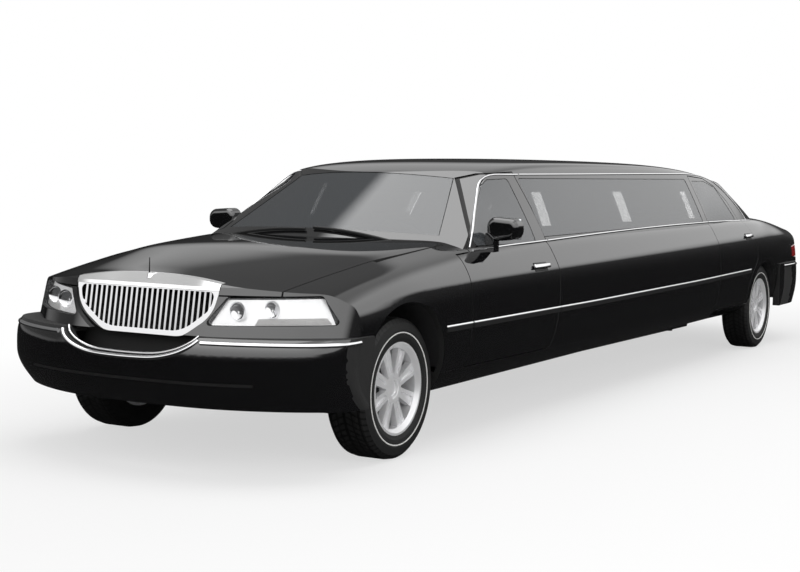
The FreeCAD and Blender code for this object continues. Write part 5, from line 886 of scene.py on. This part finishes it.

# %% [markdown]
# ## Strips of the side
# The window surround is one bright line to the eye, but it is cut at every door, so each length
# rides on its own door or on the body. The wide strip on the flank is nearly flat with a soft
# edge, and it starts behind the front wheel.

# %% Lay the side strips
SURROUND, BELT = half_round(0.013, 0.0045), half_round(0.014, 0.0055)
FLANK = [(0.0175, -0.001), (0.0175, 0.004), (0.013, 0.0075), (0.004, 0.009), (-0.004, 0.009),
         (-0.013, 0.0075), (-0.0175, 0.004), (-0.0175, -0.001)]
FLANK_X = (-2.34, -1.06, 0.862, 2.285, 2.96)
FLANK_Z = (0.6695, 0.6475, 0.6285, 0.6235, 0.6215)

flank_strip("surround_front", [(2.405, 1.0125), (2.30, 1.092), (2.16, 1.197), (2.02, 1.302),
                               (1.945, 1.358), (1.90, 1.383), (1.84, 1.4), (1.75, 1.4065),
                               (1.482, 1.4105)], SURROUND, "front_door", (CANOPY,))
flank_strip("surround_top", [(1.469, 1.411), (0.9, 1.4165), (0.2, 1.4235), (-0.6, 1.4315),
                             (-1.2, 1.4365), (-1.56, 1.4375), (-1.9, 1.427), (-2.15, 1.398),
                             (-2.35, 1.335), (-2.5, 1.245), (-2.6, 1.155), (-2.662, 1.075)],
            SURROUND, skins=(CANOPY,))
flank_strip("belt_front", [(2.41, 0.9995), (2.304, 1.0027), (2.08, 1.0099), (1.8, 1.0175),
                           (1.482, 1.0246)], BELT, "front_door")
flank_strip("belt_middle", [(1.469, 1.0249), (0.81, 1.0415), (-0.13, 1.0595), (-1.0, 1.070),
                            (-1.545, 1.0735)], BELT)
flank_strip("belt_rear", [(-1.556, 1.0735), (-1.8, 1.073), (-2.1, 1.072), (-2.405, 1.0695)],
            BELT, "rear_door")
flank_strip("belt_end", [(-2.432, 1.0692), (-2.5, 1.069), (-2.6, 1.0675), (-2.666, 1.067)], BELT)
for name, start, end, owner in (("flank_fender", 2.905, 2.6165, "root"),
                                ("flank_front", 2.6025, 1.4815, "front_door"),
                                ("flank_middle", 1.4745, -1.547, "root"),
                                ("flank_rear", -1.554, -2.325, "rear_door")):
    xs = np.linspace(start, end, 7)
    places = np.column_stack([xs, np.interp(xs, FLANK_X, FLANK_Z)])
    flank_strip(name, places, FLANK, owner, (HULL,))
print("side strips laid")

# %% [markdown]
# ## Bumper strips
# A bright strip lies on the front bumper's upper edge. Under the grille it dips with the bumper
# in a shallow curve, with a thin lip above it. The rear bumper has a plain one.

# %% Lay the bumper strips
def on_wall(wall, across, heights):
    # places on a bumper's face, given by their distance from the middle and their height
    y, z = np.asarray(across, float), np.asarray(heights, float)
    plan = wall.plan[np.argsort(wall.plan[:, 1])]
    return wall.at(np.interp(y, plan[:, 1], plan[:, 0]), y, z)


def wall_run(wall, height, count=90):
    # evenly spaced places all round a bumper at one height
    x, y = wall.plan[np.linspace(0, len(wall.plan) - 1, count).astype(int)].T
    return wall.at(x, y, np.full(count, height))


EDGE, EDGE_TILT, EDGE_END = half_round(0.022, 0.007, 0.004), (0, 0, 0.45), 0.408
DIP, DIP_TILT, DIP_STEP = half_round(0.020, 0.009, 0.006), (0, 0, 0.9), 0.02
LIP, LIP_BACK, LIP_DRAW, LIP_RISE = half_round(0.012, 0.006, 0.010), -0.030, -0.04, 0.016
DIP_Y = [0.404, 0.385, 0.358, 0.32, 0.27, 0.2, 0.1, 0.0]
DIP_Z = [0.632, 0.612, 0.594, 0.576, 0.560, 0.546, 0.5395, 0.538]

places, normals = wall_run(FRONT_BUMPER, 0.627)
for side, word in SIDES:
    rows = places[:, 1] * side > EDGE_END
    drawn_strip("bumper_strip_" + word, places[rows], normals[rows] + EDGE_TILT, EDGE)
dip_y = np.array(DIP_Y + [-y for y in DIP_Y[-2::-1]])
dip_z = np.array(DIP_Z + DIP_Z[-2::-1])
spots, normals = on_wall(FRONT_BUMPER, dip_y, dip_z + 0.004)
normals = normals + DIP_TILT
drawn_strip("bumper_dip_strip", spots - (0.002, 0, 0), normals, DIP, step=DIP_STEP)
count = len(dip_y)
lift = np.column_stack([np.full(count, LIP_BACK), dip_y * LIP_DRAW, np.full(count, LIP_RISE)])
drawn_strip("bumper_dip_lip", spots + lift, normals, LIP, step=DIP_STEP)
places, normals = wall_run(REAR_BUMPER, 0.668)
drawn_strip("rear_bumper_strip", places, normals + EDGE_TILT, EDGE)
print("bumper strips laid")

# %% [markdown]
# ## Grille, lamps and what stands behind them
# The grille's bars and ring are the CAD solid's own shape with smooth faces, and their chrome glows
# faintly: a painted highlight. Behind them lies a black sheet, as the radiator's shroud does on the
# real car, and the same sheet closes the dip in the bumper. Each headlamp is a clear lens with a
# bucket behind it that glows a little, painted light since the lamp is not lit, two round bowls
# in the bucket and a grey turn lamp block at its outer end, with a faint painted glow of its own.

# %% Fill the nose
def sheet_piece(name, rows, material):
    # a sheet from rows of points
    rows = np.asarray(rows, float)
    high, wide = rows.shape[:2]
    faces = [(i * wide + j, i * wide + j + 1, (i + 1) * wide + j + 1, (i + 1) * wide + j)
             for i in range(high - 1) for j in range(wide - 1)]
    return carried(new_piece(name, rows, faces, (material,)), "root")


def nose_rows(corners, depth, rows=9, columns=14):
    # a sheet a depth behind the nose, between four (y, z) corners
    (ya, za), (yb, zb), (yc, zc), (yd, zd) = corners
    out = []
    for v in np.linspace(0, 1, rows):
        y = np.linspace(ya + (yd - ya) * v, yb + (yc - yb) * v, columns)
        z = np.linspace(za + (zd - za) * v, zb + (zc - zb) * v, columns)
        spot, normal = on_wall(NOSE, y, z)
        out.append(spot - normal * depth)
    return out


def principled(material):
    # the main shader of a finish
    return next(node for node in material.node_tree.nodes if node.type == "BSDF_PRINCIPLED")


def glow(material, strength):
    # a finish gives white light of its own: lamp light in the cabin strips, painted light elsewhere
    surface = principled(material)
    surface.inputs["Emission Color"].default_value = grey(1)
    surface.inputs["Emission Strength"].default_value = strength


def bowl_rows(spot, normal, size, rings=8, sides=32):
    # a round bowl, open to the front, from its rim to its floor
    turn = [2 * math.pi * i / sides for i in range(sides + 1)]
    rows = []
    for ring in range(rings):
        lean = ring / (rings - 1) * math.pi / 2 * BOWL_TURN
        r, back = size * math.cos(lean), -BOWL_RIM - BOWL_DEPTH * math.sin(lean)
        rows.append([spot + normal * back + (0, r * math.cos(t), r * math.sin(t)) for t in turn])
    return rows


SHROUD_CORNERS = [(-0.41, 0.52), (0.41, 0.52), (0.415, 0.868), (-0.415, 0.868)]
SHROUD_DEPTH, BOWL_TURN, BOWL_RIM, BOWL_DEPTH = 0.092, 0.93, 0.008, 0.022
LAMP_INNER, LAMP_OUTER, BUCKET_DEPTH, BLOCK_DEPTH = 0.398, 0.9, 0.034, 0.027
LAMP_SURFACES = [(NOSE, 0), (HULL, 0), (BROW, 0)]
BOWLS = ((0.52, 0.768, 0.044), (0.66, 0.777, 0.042))
NIGHT = shaded("shroud black", (0.004, 0.004, 0.004), 0.8, grain=0.3, scale=90)
GRILLE_CHROME_PAINTED_GLOW = shaded("grille chrome with painted glow", (0.96, 0.96, 0.96), 0.14, metallic=0.72)
# painted light: the reflector, the turn lamp block and the grille chrome are not lit lamps, yet
# each glows a little
for material, strength in ((REFLECTOR_PAINTED_GLOW, 0.26), (TURN_BLOCK_PAINTED_GLOW, 0.1), (GRILLE_CHROME_PAINTED_GLOW, 0.13)):
    glow(material, strength)

smooth_copy("grille", LAMP_SURFACES, (GRILLE_CHROME_PAINTED_GLOW, CHROME))
sheet_piece("grille_shroud", nose_rows(SHROUD_CORNERS, SHROUD_DEPTH), NIGHT)
smooth_copy("headlamps", LAMP_SURFACES, (LAMP_GLASS,))
for side, word in SIDES:
    inner, outer = LAMP_INNER * side, LAMP_OUTER * side
    rows = nose_rows([(inner, 0.706), (outer, 0.712), (outer * 0.94, 0.83),
                      (inner * 1.16, 0.822)], BUCKET_DEPTH)
    sheet_piece("lamp_bucket_" + word, rows, REFLECTOR_PAINTED_GLOW)
    rows = nose_rows([(0.6 * side, 0.707), (outer * 0.985, 0.714), (outer * 0.96, 0.742),
                      (0.61 * side, 0.738)], BLOCK_DEPTH, rows=4)
    sheet_piece("turn_block_" + word, rows, TURN_BLOCK_PAINTED_GLOW)
    for y, z, size in BOWLS:
        spot, normal = on_wall(NOSE, [y * side], [z])
        sheet_piece("lamp_bowl_%s_%d" % (word, round(y * 100)),
                    bowl_rows(spot[0], normal[0], size), CHROME)
print("nose filled")

# %% [markdown]
# ## Handles, mirrors and wipers
# The door handles are chrome pulls over a dark recess: a dark patch in the rubber seal finish laid
# on the skin, painted shade in place of the hollow's own. The mirror's face is a plain plate on
# its rear side, and two wipers rest at the foot of the windshield.

# %% Make the small body pieces
def rounded_cube(name, size, rounding, segments):
    # a cube brought to size, with rounded edges
    bpy.ops.object.select_all(action="DESELECT")
    bpy.ops.mesh.primitive_cube_add(size=1)
    block = bpy.context.object
    block.name, block.scale = name, size
    bpy.ops.object.transform_apply(location=False, rotation=False, scale=True)
    bevel = block.modifiers.new("Rounded edges", "BEVEL")
    bevel.width, bevel.segments = rounding, segments
    bpy.ops.object.modifier_apply(modifier=bevel.name)
    return block


def rounded_block(name, size, place, body, material, rounding, axes=np.eye(3)):
    # a rounded cube turned to three axes and put in place
    block = rounded_cube(name, size, rounding, 4)
    bpy.ops.object.shade_smooth_by_angle(angle=math.radians(40))
    turn = Matrix([list(row) for row in np.asarray(axes, float).T]).to_4x4()
    block.data.transform(Matrix.Translation(place) @ turn)
    block.data.materials.append(material)
    return carried(block, body)


def flank_axes(normal):
    # along the car, up the flank and outward
    along_car = np.array([1.0, 0, 0]) - normal * normal[0]
    along_car /= np.linalg.norm(along_car)
    return [along_car, np.cross(normal, along_car), normal]


HANDLES = (("front_door", 1.72, 0.885, 0.205), ("rear_door", -2.335, 0.946, 0.17))
RECESS_SHARE, RECESS_HEIGHT, RECESS_DEPTH, RECESS_OUT = 0.8, 0.052, 0.004, 0.0008
PULL_HEIGHT, PULL_DEPTH, PULL_OUT = 0.027, 0.017, 0.0125
MIRROR_PLACE, MIRROR_SIZE = (2.131, 0.947, 1.110), (0.004, 0.158, 0.112)
WIPERS = (("left", 0.60, 0.02, 0.055), ("right", -0.02, -0.55, 0.05))
WIPER, WIPER_BACK, WIPER_FOOT, WIPER_OUT = half_round(0.014, 0.009, 0.006), 0.56, 1.085, 0.011

for door, x, z, width in HANDLES:
    for side, word in SIDES:
        spots, normals = on_flank([(x + 0.1, z), (x, z), (x - 0.1, z)], (HULL,), side)
        spot, normal = spots[1], normals[1]
        axes, owner = flank_axes(normal), door + "_" + word
        # the recess is a dark patch laid on the skin under the pull: painted shade of the hollow
        recess = width * RECESS_SHARE, RECESS_HEIGHT, RECESS_DEPTH
        rounded_block("handle_recess_shade_" + owner, recess, spot + normal * RECESS_OUT, owner,
                      RUBBER_SEAL, 0.0018, axes)
        rounded_block("handle_" + owner, (width, PULL_HEIGHT, PULL_DEPTH),
                      spot + normal * PULL_OUT, owner, CHROME, 0.0075, axes)
for side, word in SIDES:
    x, y, z = MIRROR_PLACE
    rounded_block("mirror_face_" + word, MIRROR_SIZE, (x, y * side, z), "front_door_" + word,
                  MIRROR_FACE, 0.0015)
for word, start, end, rise in WIPERS:
    y, z = np.linspace(start, end, 9), np.linspace(0.012, rise, 9)
    seat = np.column_stack([np.full(9, FRONT_AXLE - WIPER_BACK), y, WIPER_FOOT + z])
    spot, normal, _ = WINDSHIELD.nearest(seat)
    drawn_strip("wiper_" + word, spot + normal * WIPER_OUT, normal, WIPER,
                material=RUBBER_SEAL)
print("small pieces made")

# %% [markdown]
# ## Wheels
# Tread grooves are a pattern in the rubber that turns with the wheel, because cut blocks would
# take the tyre past its triangles; the grooves are only painted darker, as painted shade. The
# white ring on the side wall is a piece of its own.

# %% Dress the wheels
AXLE_HEIGHT, RING_RADIUS, RING_THICKNESS = 0.351, 0.278, 0.0035
TREAD_BLOCKS, BLOCK_SLANT, BLOCK_GROOVE = 62, 14.0, 0.26
RIBS, RIB_GROOVE, TREAD_RADIUS = 27.0, 0.2, 0.326
# the groove tone is painted shade: the grooves are coloured darker than the rubber, for the shade
# in them
GROOVE_PAINTED_SHADE, RUBBER_TONE = 0.001, 0.0125


def tread_rubber(name, x, y):
    # tyre rubber whose slanted grooves and ring grooves on its running face are painted shade
    rubber = RUBBER.copy()
    rubber.name = name
    wiring = Wiring(rubber.node_tree)
    math_node = wiring.math
    place = wiring.add("TexCoord").outputs["Object"]
    centred = wiring.add("Mapping", {"Location": (-x, -y, -AXLE_HEIGHT), "Vector": place})
    ahead, aside, up = wiring.add("SeparateXYZ", {0: centred.outputs[0]}).outputs
    turn = math_node("MULTIPLY", math_node("ARCTAN2", up, ahead), TREAD_BLOCKS / (2 * math.pi))
    across = math_node("ABSOLUTE", aside)
    slanted = math_node("ADD", turn, math_node("MULTIPLY", across, BLOCK_SLANT))
    blocks = math_node("GREATER_THAN", math_node("FRACT", slanted), BLOCK_GROOVE)
    ribs = math_node("FRACT", math_node("MULTIPLY", across, RIBS))
    ribs = math_node("GREATER_THAN", ribs, RIB_GROOVE)
    square = math_node("ADD", math_node("MULTIPLY", ahead, ahead), math_node("MULTIPLY", up, up))
    side_wall = math_node("LESS_THAN", math_node("SQRT", square), TREAD_RADIUS)
    solid = math_node("MAXIMUM", side_wall, math_node("MULTIPLY", blocks, ribs))
    # painted shade: the grooves take the darker tone, the rubber and the side wall the lighter one
    tone = wiring.add("MapRange", {"Value": solid, "To Min": GROOVE_PAINTED_SHADE,
                                   "To Max": RUBBER_TONE})
    wiring.links.new(tone.outputs[0], principled(rubber).inputs["Base Color"])
    return rubber


for end, x, y in (("front", FRONT_AXLE, 0.805), ("rear", REAR_AXLE, 0.820)):
    for side, word in SIDES:
        wheel = end + "_" + word
        tyre = NODES[wheel + "_tyre"]
        tyre.data.materials[0] = tread_rubber("tread " + end + " " + word, x, y * side)
        shape = np.array([v.co[:] for v in tyre.data.vertices])
        reach = np.hypot(shape[:, 0] - x, shape[:, 2] - AXLE_HEIGHT)
        face = np.abs(shape[np.abs(reach - RING_RADIUS) < 0.02, 1]).max()
        bpy.ops.object.select_all(action="DESELECT")
        bpy.ops.mesh.primitive_torus_add(major_radius=RING_RADIUS, minor_radius=RING_THICKNESS,
                                         major_segments=96, minor_segments=8)
        ring = bpy.context.object
        ring.name = "white_ring_" + wheel
        upright = Matrix.Rotation(math.pi / 2, 4, "X")
        ring.data.transform(Matrix.Translation((x, (face - 0.001) * side, AXLE_HEIGHT)) @ upright)
        ring.data.materials.append(WHITE_RING)
        bpy.ops.object.shade_smooth()
        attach(ring, wheel + "_wheel")
print("wheels dressed")

# %% [markdown]
# ## Seats
# Each cushion starts as a slightly small rounded block. It is remeshed evenly and swollen as cloth
# under pressure, which crowns its faces and pulls its sides in between the corners. A cap keeps
# it in its place, its underside is pressed flat, and a piping seam is laid round it. A cushion is
# made once and copied along its bench.

# %% Fill the cushions
SHRINK, PRESSURE, FILL_FRAMES, PIPING, SEAM_SHARE = 0.02, 4, 20, 0.0035, 0.18
CORNERS, CORNER_REACH, PIPE_SIDES = 60, 0.12, 6


def filled(pad):
    # the pad swollen as cloth under pressure
    cloth = pad.modifiers.new("Filling", "CLOTH")
    cloth.settings.use_pressure = True
    cloth.settings.uniform_pressure_force = PRESSURE
    cloth.settings.effector_weights.gravity = 0
    cloth.point_cache.frame_end = FILL_FRAMES
    for step in range(1, FILL_FRAMES + 1):
        bpy.context.scene.frame_set(step)
    bpy.ops.object.modifier_apply(modifier=cloth.name)
    bpy.context.scene.frame_set(1)


def seam_line(grown, size, voxel):
    # the pad's outline at one height, smoothed
    angle = np.arctan2(grown[:, 1] / size[1], grown[:, 0] / size[0])
    level = np.abs(grown[:, 2] - size[2] * SEAM_SHARE) < voxel
    seam = []
    for turn in np.linspace(-math.pi, math.pi, CORNERS + 1)[:-1]:
        off = np.abs((angle - turn + math.pi) % (2 * math.pi) - math.pi)
        near = level & (off < CORNER_REACH)
        if near.any():
            rows = grown[near]
            seam.append(rows[np.hypot(rows[:, 0], rows[:, 1]).argmax()])
    seam = np.array(seam)
    for _ in range(2):
        seam = (np.roll(seam, 1, 0) + 2 * seam + np.roll(seam, -1, 0)) / 4
    return seam


def swollen(name, size, rounding=0.03, cap=0.02, voxel=0.014):
    # a cushion's mesh: a rounded block, remeshed, filled, capped and given its piping
    pad = rounded_cube(name, [value - SHRINK for value in size], rounding, 3)
    pad.data.remesh_voxel_size = voxel
    bpy.ops.object.voxel_remesh()
    start = np.array([v.co[:] for v in pad.data.vertices])
    filled(pad)
    move = np.array([v.co[:] for v in pad.data.vertices]) - start
    far = np.linalg.norm(move, axis=1)
    grown = start + move * np.minimum(1, cap / np.maximum(far, 1e-6))[:, None]
    grown[:, 2] = np.maximum(grown[:, 2], start[:, 2].min())
    pad.data.vertices.foreach_set("co", grown.ravel())
    pad.data.update()
    bpy.ops.object.shade_smooth()
    seam = seam_line(grown, size, voxel)
    ahead = np.roll(seam, -1, 0) - np.roll(seam, 1, 0)
    ahead /= np.linalg.norm(ahead, axis=1)[:, None]
    out, count = np.cross(ahead, (0, 0, 1)), len(seam)
    turns = [2 * math.pi * i / PIPE_SIDES for i in range(PIPE_SIDES)]
    rings = [seam + (out * math.cos(t) + np.array([0, 0, math.sin(t)])) * PIPING for t in turns]
    faces = [(a * count + i, a * count + (i + 1) % count,
              (a + 1) % PIPE_SIDES * count + (i + 1) % count, (a + 1) % PIPE_SIDES * count + i)
             for a in range(PIPE_SIDES) for i in range(count)]
    new_piece(name + "_piping", rings, faces, smooth=False).select_set(True)
    bpy.ops.object.join()
    turn_outward()
    shape = pad.data.copy()
    bpy.data.objects.remove(pad)
    return shape


def set_cushion(shape, name, place, turn, node_name):
    # a copy of a cushion in its place on a seat
    mesh = shape.copy()
    mesh.transform(Matrix.Translation(place) @ turn)
    mesh.materials.clear()
    mesh.materials.append(LEATHER)
    piece = bpy.data.objects.new(name, mesh)
    bpy.context.scene.collection.objects.link(piece)
    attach(piece, "root")
    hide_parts(node_name)


print("a pad shrinks by", SHRINK, "m before it is filled")

# %% [markdown]
# ## Seats in their places
# The front seats stand on plain bases. The lounge is one bench along the right side and the rear,
# on closed plinths.

# %% Set the seats
LEVEL = Matrix.Identity(4)
flat_pad = swollen("front_cushion", (0.44, 0.53, 0.125))
back_pad = swollen("front_back", (0.55, 0.50, 0.115))
rest_pad = swollen("headrest", (0.13, 0.26, 0.085), rounding=0.02, cap=0.012, voxel=0.01)
lean = Matrix.Rotation(math.radians(-103), 4, "Y")
for side, word in SIDES:
    y = 0.37 * side
    for shape, name, x, z, turn in ((flat_pad, "front_cushion_", 2.025, 0.487, LEVEL),
                                    (back_pad, "front_back_", 1.675, 0.775, lean),
                                    (rest_pad, "headrest_", 1.612, 1.105, lean)):
        set_cushion(shape, name + word, (x, y, z), turn, "front_seats")
    stand = rounded_block("seat_stand_" + word, (0.44, 0.36, 0.115), (1.93, y, 0.3685), "root",
                          TRIM, 0.012)
    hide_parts("front_seats")
bench_pad = swollen("bench_cushion", (0.35, 0.445, 0.135))
bench_back = swollen("bench_back", (0.36, 0.445, 0.095))
lean = Matrix.Rotation(math.radians(-100), 4, "Y")
for i, y in enumerate((-0.455, 0.0, 0.455)):
    set_cushion(bench_pad, "rear_bench_%d" % i, (-1.965, y, 0.615), LEVEL, "lounge_seats")
    set_cushion(bench_back, "rear_back_%d" % i, (-2.20, y, 0.875), lean, "lounge_seats")
side_pad = swollen("side_cushion", (0.49, 0.36, 0.135))
side_back = swollen("side_back", (0.49, 0.29, 0.085))
lean = Matrix.Rotation(math.radians(-94), 4, "X")
for i in range(4):
    x = -1.525 + 0.505 * i
    set_cushion(side_pad, "side_bench_%d" % i, (x, -0.365, 0.615), LEVEL, "lounge_seats")
    set_cushion(side_back, "side_back_%d" % i, (x, -0.622, 0.83), lean, "lounge_seats")
for name, length, x, y in (("rear_plinth_left", 0.48, -2.045, 0.455),
                           ("rear_plinth_right", 0.48, -2.045, -0.455),
                           ("side_plinth", 2.02, -0.78, -0.455)):
    plinth = rounded_block(name, (length, 0.46, 0.23), (x, y, 0.43), "root",
                           LEATHER, 0.014)
    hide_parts("lounge_seats")
print("cushions set")

# %% [markdown]
# ## Light strips of the cabin
# Three upright strips of small lamps show through each long window, with a dark sheet behind each.

# %% Light the cabin strips
STRIPS = ((1.40, 1.27, -0.05), (0.10, -0.06, -0.03), (-1.26, -1.37, -0.03))
STRIP_FOOT, STRIP_TOP, STRIP_HEIGHT = 1.12, 1.32, 0.2
STRIP_DEPTH, BACKING_DEPTH = 0.03, 0.036
STRIP = shaded("cabin light", (0.9, 0.9, 0.9), 0.4, grain=0.6, scale=160)
glow(STRIP, 9.0)
for number, (front, rear, shift) in enumerate(STRIPS):
    for side, word in SIDES:
        rows, backing = [], []
        for z in np.linspace(STRIP_FOOT, STRIP_TOP, 6):
            slide = shift * (z - STRIP_FOOT) / STRIP_HEIGHT
            line = [(front + slide - (front - rear) * k / 4, z) for k in range(5)]
            spots, normals = on_flank(line, (CANOPY,), side)
            rows.append(spots - normals * STRIP_DEPTH)
            backing.append(spots - normals * BACKING_DEPTH)
        sheet_piece("cabin_strip_%d_%s" % (number, word), rows, STRIP)
        sheet_piece("cabin_strip_back_%d_%s" % (number, word), backing, NIGHT)
print("cabin strips lit")
